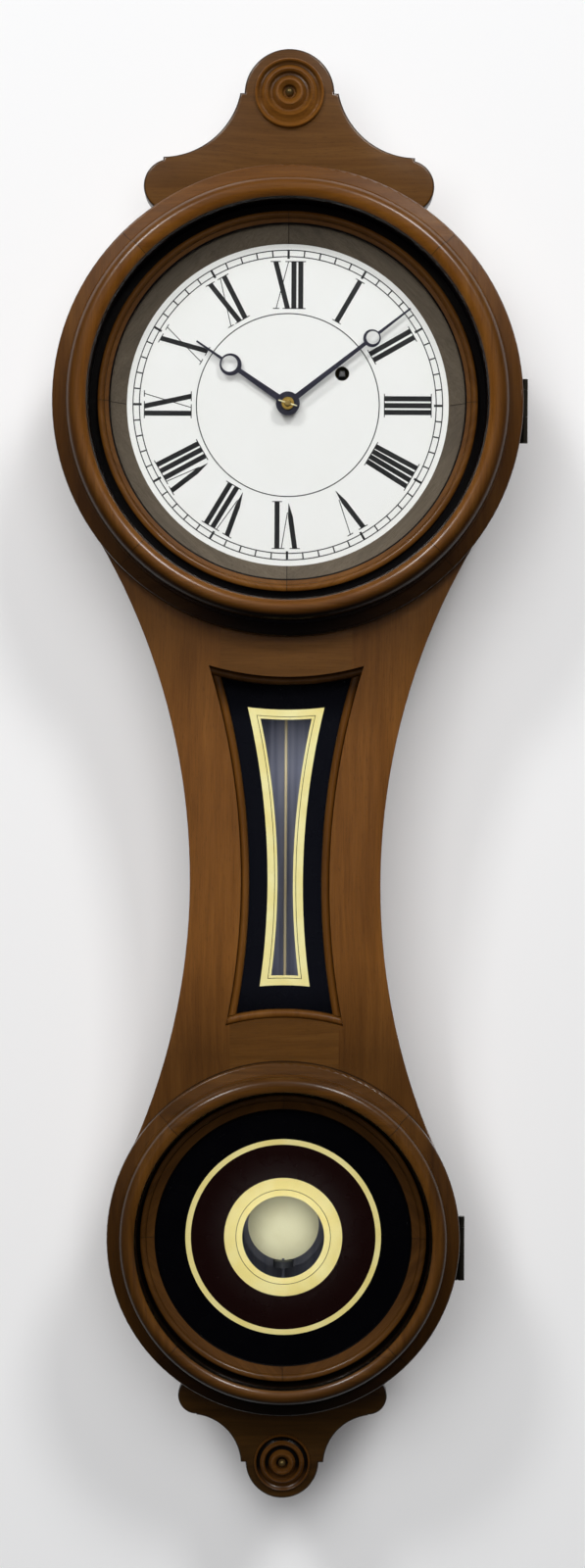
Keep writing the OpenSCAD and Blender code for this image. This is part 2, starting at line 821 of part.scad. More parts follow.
module screws() color(steel) stand() {
    for (s = [-1, 1]) {
        rod(screw_r, 0, hanger_t + screw_bite, s * hanger_screw_x, hanger_rise);
        rod(screw_head_r, 0, screw_head_t, s * hanger_screw_x, hanger_rise);
    }
    for (p = seat_screw_places) screw(p[0], p[1], train_d, plate_t + seat_t + screw_bite, screw_r);
    for (p = pillar_places) screw(p[0], p[1], motion_d, plate_t, plate_screw_r);
}

// Knuckle and leaf spaces of a hinge whose middle knuckle is centred at (x, y)
module hinge_cut(x, y) {
    y0 = y - knuckle_mid_l / 2 - hinge_low_l;
    translate([x, y0 - end_gap, hinge_d]) rotate([-90, 0, 0])
        cylinder(r = knuckle_r + 0.3, h = hinge_l + 2 * end_gap);
    translate([x - leaf_w, y0 - end_gap, hinge_d - leaf_t - door_gap / 2])
        cube([leaf_w + 5, hinge_l + 2 * end_gap, 2 * leaf_t + door_gap]);
}

module knuckle(x, y0, length, r) {
    translate([x, y0, hinge_d]) rotate([-90, 0, 0]) cylinder(r = r, h = length);
}

module fixed_leaf(x, y) {
    mid0 = y - knuckle_mid_l / 2;
    mid1 = y + knuckle_mid_l / 2;
    y0 = mid0 - hinge_low_l;
    difference() {
        translate([x - leaf_w, y0, front_d - leaf_t]) cube([leaf_w, hinge_l, leaf_t]);
        translate([x - knuckle_r - 0.5, mid0 - end_gap, front_d - leaf_t - cut])
            cube([knuckle_r + 5, knuckle_mid_l + 2 * end_gap, leaf_t + 2 * cut]);
    }
    knuckle(x, y0, hinge_low_l - end_gap, knuckle_r);
    knuckle(x, mid1 + end_gap, knuckle_top_l - end_gap, knuckle_r);
    knuckle(x, y0, hinge_l, hinge_pin_r);
}

module hinge_fixed_leaves() color(brass) stand() {
    fixed_leaf(upper_hinge_x, -upper_hinge_low);
    fixed_leaf(lower_hinge_x, lower_y - lower_hinge_low);
}

module moving_leaf(x, y) {
    mid0 = y - knuckle_mid_l / 2;
    y0 = mid0 - hinge_low_l;
    difference() {
        union() {
            difference() {
                translate([x - leaf_w, y0, door_d]) cube([leaf_w, hinge_l, leaf_t]);
                for (part = [[y0 - cut, hinge_low_l + cut + end_gap],
                             [y + knuckle_mid_l / 2 - end_gap, knuckle_top_l + cut + end_gap]]) {
                    translate([x - knuckle_r - 0.5, part[0], door_d - cut])
                        cube([knuckle_r + 5, part[1], leaf_t + 2 * cut]);
                }
            }
            knuckle(x, mid0, knuckle_mid_l, knuckle_r);
        }
        knuckle(x, mid0 - cut, knuckle_mid_l + 2 * cut, hinge_pin_r + run_gap);
    }
}

module upper_hinge_leaf() color(brass) stand() moving_leaf(upper_hinge_x, -upper_hinge_low);

module lower_hinge_leaf() color(brass) stand()
    moving_leaf(lower_hinge_x, lower_y - lower_hinge_low);

// The board that keeps the falling weight away from the pendulum, on two battens
module baffle() color([0.34, 0.34, 0.36]) stand() {
    block([-baffle_half, baffle_bottom_y, baffle_d],
        [baffle_half, baffle_top_y, baffle_d + baffle_t]);
    for (x = [-baffle_half, baffle_half - batten_w]) {
        block([x, waist_y - batten_half, back_t], [x + batten_w, waist_y + batten_half, baffle_d]);
    }
}

// Moulded front ring of a door with outer radius r: flat band, fillet and round roll
module bezel_front(r, band_w, roll_w, rise) {
    fillet_r = r - band_w;
    roll_out = fillet_r - fillet_w;
    roll_r = roll_w / 2;
    rotate_extrude($fn = 180) {
        polygon([
            [roll_out - roll_w, 0],
            [r, 0],
            [r, bezel_edge_t - band_round],
            [r - band_round, bezel_edge_t],
            [fillet_r, bezel_edge_t + 0.9],
            [fillet_r, bezel_edge_t + 2.6],
            [roll_out, bezel_edge_t + 2.6],
            [roll_out, rise - roll_r],
            [roll_out - roll_w, rise - roll_r]
        ]);
        translate([r - band_round, bezel_edge_t - band_round]) circle(band_round);
        translate([roll_out - roll_r, rise - roll_r]) circle(roll_r);
    }
}

// Back ring of a door: glass rebate behind, and the inner bead and a groove in front
module bezel_back(r, sight_r, bead_w, roll_in, hinge_x, hinge_y, y) {
    slope_w = bead_w - bead_round_w;
    bead_r = bead_round_w / 2;
    rebate = glass_front_d - door_d;
    difference() {
        translate([0, y, door_d]) rotate_extrude($fn = 180) {
            polygon([
                [sight_r, rebate],
                [sight_r + glass_lap + glass_gap, rebate],
                [sight_r + glass_lap + glass_gap, 0],
                [r, 0],
                [r, door_back_t],
                [roll_in, door_back_t],
                [roll_in, rebate - 1.2],
                [sight_r + bead_w, rebate - 1.2],
                [sight_r + bead_w, door_back_t - bead_r - 0.6],
                [sight_r + slope_w, door_back_t - bead_r - 0.6],
                [sight_r + slope_w, rebate + 1.6],
                [sight_r + 0.6, rebate + 1.1],
                [sight_r, rebate + 0.5]
            ]);
            translate([sight_r + slope_w + bead_r, door_back_t - bead_r - 0.6]) intersection() {
                circle(bead_r);
                translate([-bead_r, 0]) square(2 * bead_r);
            }
        }
        hinge_cut(hinge_x, y + hinge_y);
    }
}

module upper_bezel_front() color(walnut) stand() translate([0, 0, bezel_d])
    bezel_front(upper_door_r, upper_band_w, upper_roll_w, upper_roll_rise);

module upper_bezel_back() color(walnut) stand()
    bezel_back(upper_door_r, upper_sight_r, upper_bead_w, upper_roll_in,
        upper_hinge_x, -upper_hinge_low, 0);

module upper_glass() color(glass_tint) stand()
    rod(upper_sight_r + glass_lap, glass_d, glass_front_d, $fn = 180);

module glass_bead(sight_r, y) {
    tube(sight_r + glass_lap + glass_gap, sight_r + 0.7, door_d, glass_d, 0, y, $fn = 180);
}

module upper_glass_bead() color(walnut_dark) stand() glass_bead(upper_sight_r, 0);

module lower_bezel_front() color(walnut_dark) stand() translate([0, lower_y, bezel_d])
    bezel_front(lower_door_r, lower_band_w, lower_roll_w, lower_roll_rise);

module lower_bezel_back() color(walnut_dark) stand()
    bezel_back(lower_door_r, lower_sight_r, lower_bead_w, lower_roll_in,
        lower_hinge_x, -lower_hinge_low, lower_y);

module lower_glass() color(glass_tint) stand()
    rod(lower_sight_r + glass_lap, glass_d, glass_front_d, 0, lower_y, $fn = 180);

module lower_glass_bead() color(walnut_dark) stand() glass_bead(lower_sight_r, lower_y);

// A flat ring of paint or leaf on the back of the lower glass
module paint_ring(r_out, r_in) {
    tube(r_out, r_in, glass_d - paint_t, glass_d, 0, lower_y, $fn = 180);
}

module lower_glass_paint() color(black_paint) stand() {
    paint_ring(lower_sight_r + 0.4, gold_thin_out);
    paint_ring(gold_thin_in, gold_thick_out);
    paint_ring(gold_ring_line + gold_line_w / 2, gold_ring_line - gold_line_w / 2);
}

module lower_glass_gilding() color(gold) stand() {
    paint_ring(gold_thin_out, gold_thin_in);
    paint_ring(gold_thick_out, gold_ring_line + gold_line_w / 2);
    paint_ring(gold_ring_line - gold_line_w / 2, gold_thick_in);
}

// Outline of a toothed wheel whose first tooth points along the phase angle
module teeth_2d(teeth, m, phase) {
    pitch_r = teeth * m / 2;
    step = 360 / teeth;
    polygon([for (k = [0 : teeth - 1]) each [
        for (p = [
            [pitch_r - root_depth * m, -root_half],
            [pitch_r, -pitch_half],
            [pitch_r + tip_height * m, -tip_half],
            [pitch_r + tip_height * m, tip_half],
            [pitch_r, pitch_half],
            [pitch_r - root_depth * m, root_half]
        ]) p[0] * [cos(phase + step * (k + p[1])), sin(phase + step * (k + p[1]))]
    ]]);
}

// A crossed-out wheel: toothed rim, hub and spokes
module wheel(teeth, m, phase, d, t, hub_r, bore_r, spokes = 5) {
    rim_in = teeth * m / 2 - 3.2;
    difference() {
        slab(d, d + t) teeth_2d(teeth, m, phase);
        for (k = [0 : spokes - 1]) slab(d - cut, d + t + cut) difference() {
            intersection() {
                disc(rim_in);
                rotate(k * 360 / spokes + phase) polygon([
                    [0, 0],
                    2 * rim_in * [cos(0), sin(0)],
                    3 * rim_in * [cos(180 / spokes), sin(180 / spokes)],
                    2 * rim_in * [cos(360 / spokes), sin(360 / spokes)]
                ]);
            }
            disc(hub_r);
            rotate(k * 360 / spokes + phase) translate([0, -1.1]) square([rim_in + 1, 2.2]);
            rotate((k + 1) * 360 / spokes + phase) translate([0, -1.1]) square([rim_in + 1, 2.2]);
        }
        if (bore_r > 0) rod(bore_r, d - cut, d + t + cut);
    }
}

module pinion(teeth, m, phase, d, length) {
    slab(d, d + length) teeth_2d(teeth, m, phase);
}

// A plain arbor between the plates with a pivot at each end
module arbor(r) {
    rod(r, train_d + end_gap, front_plate_d - end_gap);
    rod(pivot_r, back_plate_d + 0.5, motion_d - 0.5);
}

module plate_2d() {
    translate([plate_x0, plate_y0]) square([plate_x1 - plate_x0, plate_y1 - plate_y0]);
}

module movement_seat() color([0.2, 0.2, 0.21]) stand() slab(back_t, back_plate_d) difference() {
    plate_2d();
    translate([plate_x0 + 8, plate_y0 + 8])
        square([plate_x1 - plate_x0 - 16, plate_y1 - plate_y0 - 16]);
    for (p = seat_screw_places) disc(screw_r, p[0], p[1]);
}

module pivot_holes(d0, d1) {
    for (p = [[third_x, third_y], [escape_x, escape_y]]) {
        rod(pivot_r + run_gap, d0 - cut, d1 + cut, p[0], p[1]);
    }
}

module back_plate() color(brass) stand() {
    difference() {
        slab(back_plate_d, train_d) plate_2d();
        pivot_holes(back_plate_d, train_d);
        for (p = [[0, 0], [0, pivot_y], [great_x, great_y]]) {
            rod(pivot_r + run_gap, back_plate_d - cut, train_d + cut, p[0], p[1]);
        }
        for (p = seat_screw_places) rod(screw_r, back_plate_d - cut, train_d + cut, p[0], p[1]);
    }
    rod(cable_post_r, train_d, cable_d + 2, cable_end_x, cable_end_y + cable_post_r);
}

module front_plate() color(brass) stand() {
    difference() {
        slab(front_plate_d, motion_d) plate_2d();
        pivot_holes(front_plate_d, motion_d);
        rod(centre_arbor_r + run_gap, front_plate_d - cut, motion_d + cut);
        rod(arbor_r + run_gap, front_plate_d - cut, motion_d + cut, 0, pivot_y);
        rod(great_arbor_r + run_gap, front_plate_d - cut, motion_d + cut, great_x, great_y);
        for (p = pillar_places) rod(plate_screw_r, front_plate_d - cut, motion_d + cut, p[0], p[1]);
    }
    rod(minute_stud_r, motion_d, minute_pinion_end_d + 1, minute_x, minute_y);
    rod(minute_stud_r + 1, minute_pinion_end_d + 0.2, minute_pinion_end_d + 1, minute_x, minute_y);
}

module pillars() color(brass) stand() {
    for (p = pillar_places) {
        rod(pillar_r, train_d, front_plate_d, p[0], p[1]);
        rod(pillar_r + 1, train_d, train_d + 2, p[0], p[1]);
        rod(pillar_r + 1, front_plate_d - 2, front_plate_d, p[0], p[1]);
    }
}

module suspension_cock() color(brass) stand() {
    block([-9, pivot_y + 4, motion_d], [9, pivot_y + 15, motion_d + 3.4]);
    block([-3, pivot_y + 4, motion_d + 3.4], [3, pivot_y + 12, rod_d + spring_w / 2]);
    block([-spring_t / 2, pivot_y + end_gap / 2, rod_d - spring_w / 2],
        [spring_t / 2, pivot_y + 4, rod_d + spring_w / 2]);
}

module weight_cable() color([0.55, 0.5, 0.4]) stand() {
    for (strand = [[cable_x, great_y], [cable_end_x, cable_end_y]]) {
        translate([strand[0], pulley_y, cable_d]) rotate([-90, 0, 0])
            cylinder(r = cable_r, h = strand[1] - pulley_y, $fn = 24);
    }
    translate([pulley_x, pulley_y, cable_d]) rotate([0, 0, 180])
        rotate_extrude(angle = 180) translate([pulley_r, 0]) circle(cable_r, $fn = 24);
}

module centre_wheel() color(brass) stand() {
    wheel(centre_teeth, centre_m, third_bearing, centre_wheel_d, wheel_t, 4, 0);
    pinion(centre_pinion_teeth, great_m, great_bearing, great_wheel_d - 1, great_wheel_t + 2);
    rod(centre_arbor_r, train_d + end_gap, arbor_end_d);
    rod(pivot_r, back_plate_d + 0.5, train_d + cut);
}

module cannon_pinion() color(steel) stand() difference() {
    union() {
        pinion(cannon_teeth, motion_m, minute_bearing, cannon_d - 0.3, motion_wheel_t + 0.5);
        rod(cannon_pipe_r, cannon_d, minute_hand_d);
    }
    rod(centre_arbor_r, cannon_d - cut, minute_hand_d + cut);
}

// A hand that points up: boss, tapering blade, ring with its hole set towards the tip, and tip
module hand_2d(length, ring_y, ring_r, hole_r, boss_r, root_w, ring_w, tip_w) {
    hole_up = (ring_r - hole_r) * 0.45;
    difference() {
        union() {
            disc(boss_r);
            polygon([
                [-root_w / 2, 0],
                [root_w / 2, 0],
                [ring_w / 2, ring_y],
                [-ring_w / 2, ring_y]
            ]);
            disc(ring_r, 0, ring_y);
            polygon([
                [-tip_w / 2, ring_y],
                [tip_w / 2, ring_y],
                [tip_w * 0.28, length],
                [-tip_w * 0.28, length]
            ]);
        }
        disc(hole_r, 0, ring_y + hole_up);
    }
}

module minute_hand() color(blued) stand() difference() {
    slab(minute_hand_d, minute_hand_d + hand_t) rotate(-minute_angle)
        hand_2d(minute_l, minute_ring_y, minute_ring_r, minute_hole_r, hand_boss_r, 3.5, 2, 1.9);
    rod(centre_arbor_r, minute_hand_d - cut, minute_hand_d + hand_t + cut);
}

module hour_hand() color(blued) stand() difference() {
    slab(hour_hand_d, hour_hand_d + hand_t) rotate(-hour_angle)
        hand_2d(hour_l, hour_ring_y, hour_ring_r, hour_hole_r, hand_boss_r - 0.6, 4, 2.5, 1.8);
    rod(hour_pipe_r, hour_hand_d - cut, hour_hand_d + hand_t + cut);
}

module hand_collet() color(brass) stand() {
    difference() {
        rod(collet_r, collet_d, collet_d + 0.9);
        rod(centre_arbor_r, collet_d - cut, collet_d + 2);
    }
    for (s = [0, 180]) rotate([0, 0, s + pin_angle]) translate([centre_arbor_r, 0, collet_d + 1.3])
        rotate([0, 90, 0]) cylinder(r = pin_r, h = pin_half - centre_arbor_r, $fn = 24);
}

module hour_wheel() color(brass) stand() difference() {
    union() {
        wheel(hour_teeth, motion_m, minute_bearing, hour_wheel_d, motion_wheel_t, 5, 0, 4);
        rod(hour_pipe_r, hour_wheel_d, hour_hand_d + hand_t);
    }
    rod(cannon_pipe_r + run_gap, hour_wheel_d - cut, hour_hand_d + hand_t + cut);
}

module minute_wheel() color(brass) stand() translate([minute_x, minute_y, 0]) difference() {
    union() {
        wheel(minute_teeth, motion_m, minute_bearing + 180 + 180 / minute_teeth,
            cannon_d, motion_wheel_t, 4.5, 0, 4);
        pinion(minute_pinion_teeth, motion_m, minute_bearing + 180 + 180 / minute_pinion_teeth,
            cannon_d + motion_wheel_t, minute_pinion_end_d - cannon_d - motion_wheel_t);
    }
    rod(minute_stud_r + run_gap, cannon_d - cut, minute_pinion_end_d + cut);
}

module third_wheel() color(brass) stand() translate([third_x, third_y, 0]) {
    wheel(third_teeth, third_m, escape_bearing, third_wheel_d, wheel_t, 4, 0);
    pinion(third_pinion_teeth, centre_m, third_bearing + 180 + 180 / third_pinion_teeth,
        centre_wheel_d - 0.7, wheel_t + 1.4);
    arbor(arbor_r);
}

// Escape wheel with slender raked teeth
module escape_wheel() color(brass) stand() translate([escape_x, escape_y, 0]) {
    step = 360 / escape_teeth;
    root_r = escape_r - 3;
    slab(escape_wheel_d, escape_wheel_d + wheel_t) difference() {
        polygon([for (k = [0 : escape_teeth - 1]) each [
            root_r * [cos(step * k), sin(step * k)],
            escape_r * [cos(step * (k + 0.30)), sin(step * (k + 0.30))],
            escape_r * [cos(step * (k + 0.36)), sin(step * (k + 0.36))],
            root_r * [cos(step * (k + 0.52)), sin(step * (k + 0.52))]
        ]]);
        for (k = [0 : 4]) rotate(72 * k) disc(2.6, 7.4, 0);
    }
    pinion(escape_pinion_teeth, third_m, escape_bearing + 180 + 180 / escape_pinion_teeth,
        third_wheel_d - 0.7, wheel_t + 1.4);
    arbor(arbor_r);
}

module great_wheel() color(brass) stand() translate([great_x, great_y, 0]) {
    wheel(great_teeth, great_m, great_bearing + 180 + 180 / great_teeth,
        great_wheel_d, great_wheel_t, 17, great_arbor_r + run_gap, 6);
    rod(click_pin_r, ratchet_d - 0.6, great_wheel_d, click_x, click_y);
    rod(click_pin_r + 1, ratchet_d + ratchet_t + 0.3, great_wheel_d, click_x, click_y);
}

module click() color(steel) stand() translate([great_x, great_y, click_d]) difference() {
    linear_extrude(ratchet_t - 0.2) union() {
        disc(click_pin_r + 1.4, click_x, click_y);
        polygon([
            [click_x + 0.2, click_y + 2.2],
            [click_x - 1.4, click_y - 1.6],
            (ratchet_r + 0.5) * [cos(click_angle - 34), sin(click_angle - 34)],
            (ratchet_r + 2.1) * [cos(click_angle - 36), sin(click_angle - 36)]
        ]);
    }
    rod(click_pin_r + run_gap, -cut, ratchet_t + cut, click_x, click_y);
}

module barrel() color(steel) stand() translate([great_x, great_y, 0]) {
    rod(barrel_r - cable_r, barrel_d, barrel_end_d);
    rod(flange_r, barrel_d, barrel_d + 1.5);
    rod(flange_r, barrel_end_d - 1.5, barrel_end_d);
    slab(ratchet_d, ratchet_d + ratchet_t) polygon([
        for (k = [0 : ratchet_teeth - 1]) each [
            ratchet_r * [cos(k * 360 / ratchet_teeth), sin(k * 360 / ratchet_teeth)],
            (ratchet_r - 1.2) * [cos((k + 0.1) * 360 / ratchet_teeth), sin((k + 0.1) * 360 / ratchet_teeth)]
        ]
    ]);
    rod(pivot_r, back_plate_d + 0.5, train_d + cut);
    rod(great_arbor_r, train_d + end_gap, dial_d - 12);
    rod(great_arbor_r + 2, great_wheel_d + great_wheel_t + 0.2, great_wheel_d + great_wheel_t + 2);
    translate([-winding_square / 2, -winding_square / 2, dial_d - 12])
        cube([winding_square, winding_square, 11.4]);
}

module weight() color([0.45, 0.45, 0.46]) stand() {
    block([pulley_x - weight_w / 2, weight_top_y - weight_l, cable_d - weight_t / 2],
        [pulley_x + weight_w / 2, weight_top_y, cable_d + weight_t / 2]);
    for (s = [-1, 1]) {
        strap_d = cable_d + s * (pulley_t / 2 + 0.5 + strap_t / 2);
        block([pulley_x - 4, weight_top_y, strap_d - strap_t / 2],
            [pulley_x + 4, pulley_y + 4, strap_d + strap_t / 2]);
    }
    rod(pulley_pin_r, cable_d - pulley_t / 2 - 2, cable_d + pulley_t / 2 + 2, pulley_x, pulley_y);
}

module weight_pulley() color(brass) stand() translate([pulley_x, pulley_y, cable_d])
    rotate_extrude() polygon([
        [pulley_pin_r + run_gap, -pulley_t / 2],
        [pulley_r + 2, -pulley_t / 2],
        [pulley_r + 2, -cable_r - 0.9],
        [pulley_r - cable_r, -cable_r - 0.3],
        [pulley_r - cable_r, cable_r + 0.3],
        [pulley_r + 2, cable_r + 0.9],
        [pulley_r + 2, pulley_t / 2],
        [pulley_pin_r + run_gap, pulley_t / 2]
    ]);

// Spring chops, strap, the loop that goes round the hands' pipe, and the rod down to the bob
module pendulum_rod() color(brass) stand() {
    block([-spring_t / 2, pivot_y - 7, rod_d - spring_w / 2],
        [spring_t / 2, pivot_y - end_gap / 2, rod_d + spring_w / 2]);
    block([-3, pivot_y - 14, rod_d - 2.5], [3, pivot_y - 7, rod_d + 2.5]);
    difference() {
        union() {
            slab(rod_d - 0.8, rod_d + 0.8) disc(loop_in + loop_w);
            block([-3.2, loop_in, rod_d - 0.8], [3.2, pivot_y - 14, rod_d + 0.8]);
        }
        slab(rod_d - 2, rod_d + 2) disc(loop_in);
        rod(crutch_pin_r + run_gap, rod_d - 2, rod_d + 2, 0, crutch_y);
    }
    block([-2, -loop_in - loop_w - 6, rod_d - 1.6], [2, -loop_in - 0.6, rod_d + 1.6]);
    translate([0, bob_y - bob_r - nut_room, rod_d]) rotate([-90, 0, 0])
        cylinder(r = rod_r, h = -loop_in - loop_w - 6 - bob_y + bob_r + nut_room);
}

// A lens-shaped bob with a hole for the rod
module bob() color(brass) stand() difference() {
    intersection_for(s = [-1, 1]) translate([0, bob_y, rod_d + s * (bob_lens_r - bob_t / 2)])
        sphere(bob_lens_r, $fn = 180);
    translate([0, bob_y - bob_r - cut, rod_d]) rotate([-90, 0, 0])
        cylinder(r = rod_r + run_gap, h = 2 * bob_r + 2 * cut);
}

module rating_nut() color(brass) stand() translate([0, bob_y - bob_r - nut_t, rod_d])
    rotate([-90, 0, 0]) difference() {
        cylinder(r = nut_r, h = nut_t);
        translate([0, 0, -cut]) cylinder(r = rod_r + run_gap, h = nut_t + 2 * cut);
    }

// A point at radius r from the escape arbor, turned by angle from the line to the verge
function over_escape(r, angle) = [
    escape_x + r * cos(verge_line + angle),
    escape_y + r * sin(verge_line + angle)
];

// Arbor, two pallet arms over the escape wheel, and the crutch that swings with the pendulum
module verge() color(steel) stand() {
    slab(escape_wheel_d, escape_wheel_d + wheel_t) {
        disc(3, 0, pivot_y);
        for (s = [-1, 1]) polygon([
            [0, pivot_y + 2.6],
            over_escape(pallet_r + 3.6, 24 * s),
            over_escape(pallet_r + 3, 50 * s),
            over_escape(pallet_r + 0.3, 54 * s),
            over_escape(pallet_r, 46 * s),
            over_escape(pallet_r + 0.8, 30 * s),
            over_escape(pallet_r + 0.8, 10 * s)
        ]);
    }
    translate([0, pivot_y, 0]) {
        rod(arbor_r, train_d + end_gap, motion_d + 2.6);
        rod(pivot_r, back_plate_d + 0.5, train_d + cut);
    }
    slab(motion_d + 1.2, motion_d + 2.6) {
        disc(2.8, 0, pivot_y);
        translate([-1.4, crutch_y - 1.6]) square([2.8, pivot_y - crutch_y + 1.6]);
    }
    rod(crutch_pin_r, motion_d + 2, rod_d + 2, 0, crutch_y);
}

backboard();
upper_case_ring();
lower_case_ring();
case_sides();
upper_front_ring();
lower_front_ring();
stile_left();
stile_right();
top_rail();
bottom_rail();
waist_moulding();
tablet_glass();
tablet_paint();
tablet_gilding();
crest_board();
pendant_board();
rosettes();
dial_surround();
dial();
hanger_plate();
screws();
hinge_fixed_leaves();
baffle();
movement_seat();
back_plate();
front_plate();
pillars();
suspension_cock();
weight_cable();
upper_bezel_front();
upper_bezel_back();
upper_glass();
upper_glass_bead();
upper_hinge_leaf();
lower_bezel_front();
lower_bezel_back();
lower_glass();
lower_glass_paint();
lower_glass_gilding();
lower_glass_bead();
lower_hinge_leaf();
centre_wheel();
cannon_pinion();
minute_hand();
hand_collet();
hour_wheel();
hour_hand();
minute_wheel();
third_wheel();
escape_wheel();
great_wheel();
click();
barrel();
weight();
weight_pulley();
pendulum_rod();
bob();
rating_nut();
verge();
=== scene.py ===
# %% [markdown]
# Regulator clock, dressed for the camera.
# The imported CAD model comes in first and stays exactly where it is: every plate, board and wheel
# already has its real size. What is added here is what makes it look real, such as wood, leaf,
# glass and print. One unit is one metre. The clock faces -Y, X points right and Z points up.

# %% Load the frame
import math

import bmesh
import bpy
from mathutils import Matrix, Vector


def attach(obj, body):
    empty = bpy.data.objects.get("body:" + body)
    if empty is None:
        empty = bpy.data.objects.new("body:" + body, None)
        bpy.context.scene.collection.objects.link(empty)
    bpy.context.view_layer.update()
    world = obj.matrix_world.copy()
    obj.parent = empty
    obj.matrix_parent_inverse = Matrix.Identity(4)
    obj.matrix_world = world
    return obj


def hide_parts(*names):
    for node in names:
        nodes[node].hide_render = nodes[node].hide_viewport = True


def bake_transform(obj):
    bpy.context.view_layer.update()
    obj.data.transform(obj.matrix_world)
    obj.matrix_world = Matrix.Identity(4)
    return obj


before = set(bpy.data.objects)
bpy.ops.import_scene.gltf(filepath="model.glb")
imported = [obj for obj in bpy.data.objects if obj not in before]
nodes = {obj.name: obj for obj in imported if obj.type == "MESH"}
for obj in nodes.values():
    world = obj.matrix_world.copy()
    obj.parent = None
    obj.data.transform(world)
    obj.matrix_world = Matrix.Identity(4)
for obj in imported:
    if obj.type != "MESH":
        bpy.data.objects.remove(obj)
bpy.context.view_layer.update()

scene = bpy.context.scene
scene.view_settings.view_transform = "Standard"

# %% [markdown]
# The CAD is drawn from the front with its zero at the dial's centre, so the places here are
# written the same way: across, up from the dial centre, and out from the wall, in millimetres.
# One small function turns such a place into the scene's metres, another puts a thing in the scene.

# %% Places on the clock
MM = 0.001
MM_PER_M = 1000
DIAL_CENTRE_Z = -0.106
LOWER_DROP = 489
DIAL_D = 89


def place(across, up, out):
    return Vector((across * MM, -out * MM, up * MM + DIAL_CENTRE_Z))


def show(name, data):
    """A new object that is part of the scene."""
    made = bpy.data.objects.new(name, data)
    scene.collection.objects.link(made)
    return made


lower_centre_z = DIAL_CENTRE_Z - LOWER_DROP * MM
print("dial centre", tuple(place(0, 0, DIAL_D)))

# %% [markdown]
# The photograph was taken from straight in front, a little under two metres away, with the camera
# level and turned by a third of a degree. The picture is tall, so the sensor's long side is the
# picture's height.

# %% Camera
CAMERA_PLACE = (0.004, -1.599, -0.3297)
CAMERA_TURNS = (90, -0.316, 0)
camera_data = bpy.data.cameras.new("camera")
camera_data.sensor_fit = "AUTO"
camera_data.sensor_width = 36
camera_data.lens = 58.7
camera_data.clip_start = 0.05
camera_data.clip_end = 40
camera = show("camera", camera_data)
camera.location = CAMERA_PLACE
camera.rotation_euler = [math.radians(turn) for turn in CAMERA_TURNS]
scene.camera = camera
print("camera at", tuple(camera.location))

# %% [markdown]
# A shader tree is easier to read as sums than as boxes and threads. `Wire` wraps one output of a
# node, and its operators add the Math nodes. Colours and vectors don't go through Math, which
# would turn them grey: they have their own nodes, added by `Finish.node`.


# %% Shader maths
class Wire:
    """One output in a material, which can be used in ordinary sums."""

    def __init__(self, finish, socket):
        self.finish = finish
        self.socket = socket

    def maths(self, operation, *values):
        return self.finish.node("ShaderNodeMath", {"operation": operation}, *values)

    def __add__(self, other):
        return self.maths("ADD", self, other)

    def __radd__(self, other):
        return self.maths("ADD", other, self)

    def __sub__(self, other):
        return self.maths("SUBTRACT", self, other)

    def __rsub__(self, other):
        return self.maths("SUBTRACT", other, self)

    def __mul__(self, other):
        return self.maths("MULTIPLY", self, other)

    def __rmul__(self, other):
        return self.maths("MULTIPLY", other, self)

    def __truediv__(self, other):
        return self.maths("DIVIDE", self, other)

    def __gt__(self, other):
        return self.maths("GREATER_THAN", self, other)

    def __lt__(self, other):
        return self.maths("LESS_THAN", self, other)

    def __abs__(self):
        return self.maths("ABSOLUTE", self)

    def power(self, other):
        return self.maths("POWER", self, other)

    def least(self, other):
        return self.maths("MINIMUM", self, other)

    def most(self, other):
        return self.maths("MAXIMUM", self, other)

    def sign(self):
        return self.maths("SIGN", self)

    def rise(self, start, slope):
        """0 up to the start, then a straight climb to 1."""
        return ((self - start) * slope).least(1).most(0)


# %% [markdown]
# `Finish` is one material while it is being made. Its `node` method adds any node: the settings go
# in first, because they can change which sockets a node has, and then the inputs in their order.
# `waves` is a noise that is stretched: it is given how many waves fit in a metre in each direction.
# `colour` turns a screen colour, as read with a colour picker, into the linear one that shaders use,
# and three numbers given for a colour are always such a screen colour.


# %% The finish builder
MIX_SHARE, MIX_FIRST, MIX_SECOND = 0, 6, 7
MIX_COLOUR_OUT = 2


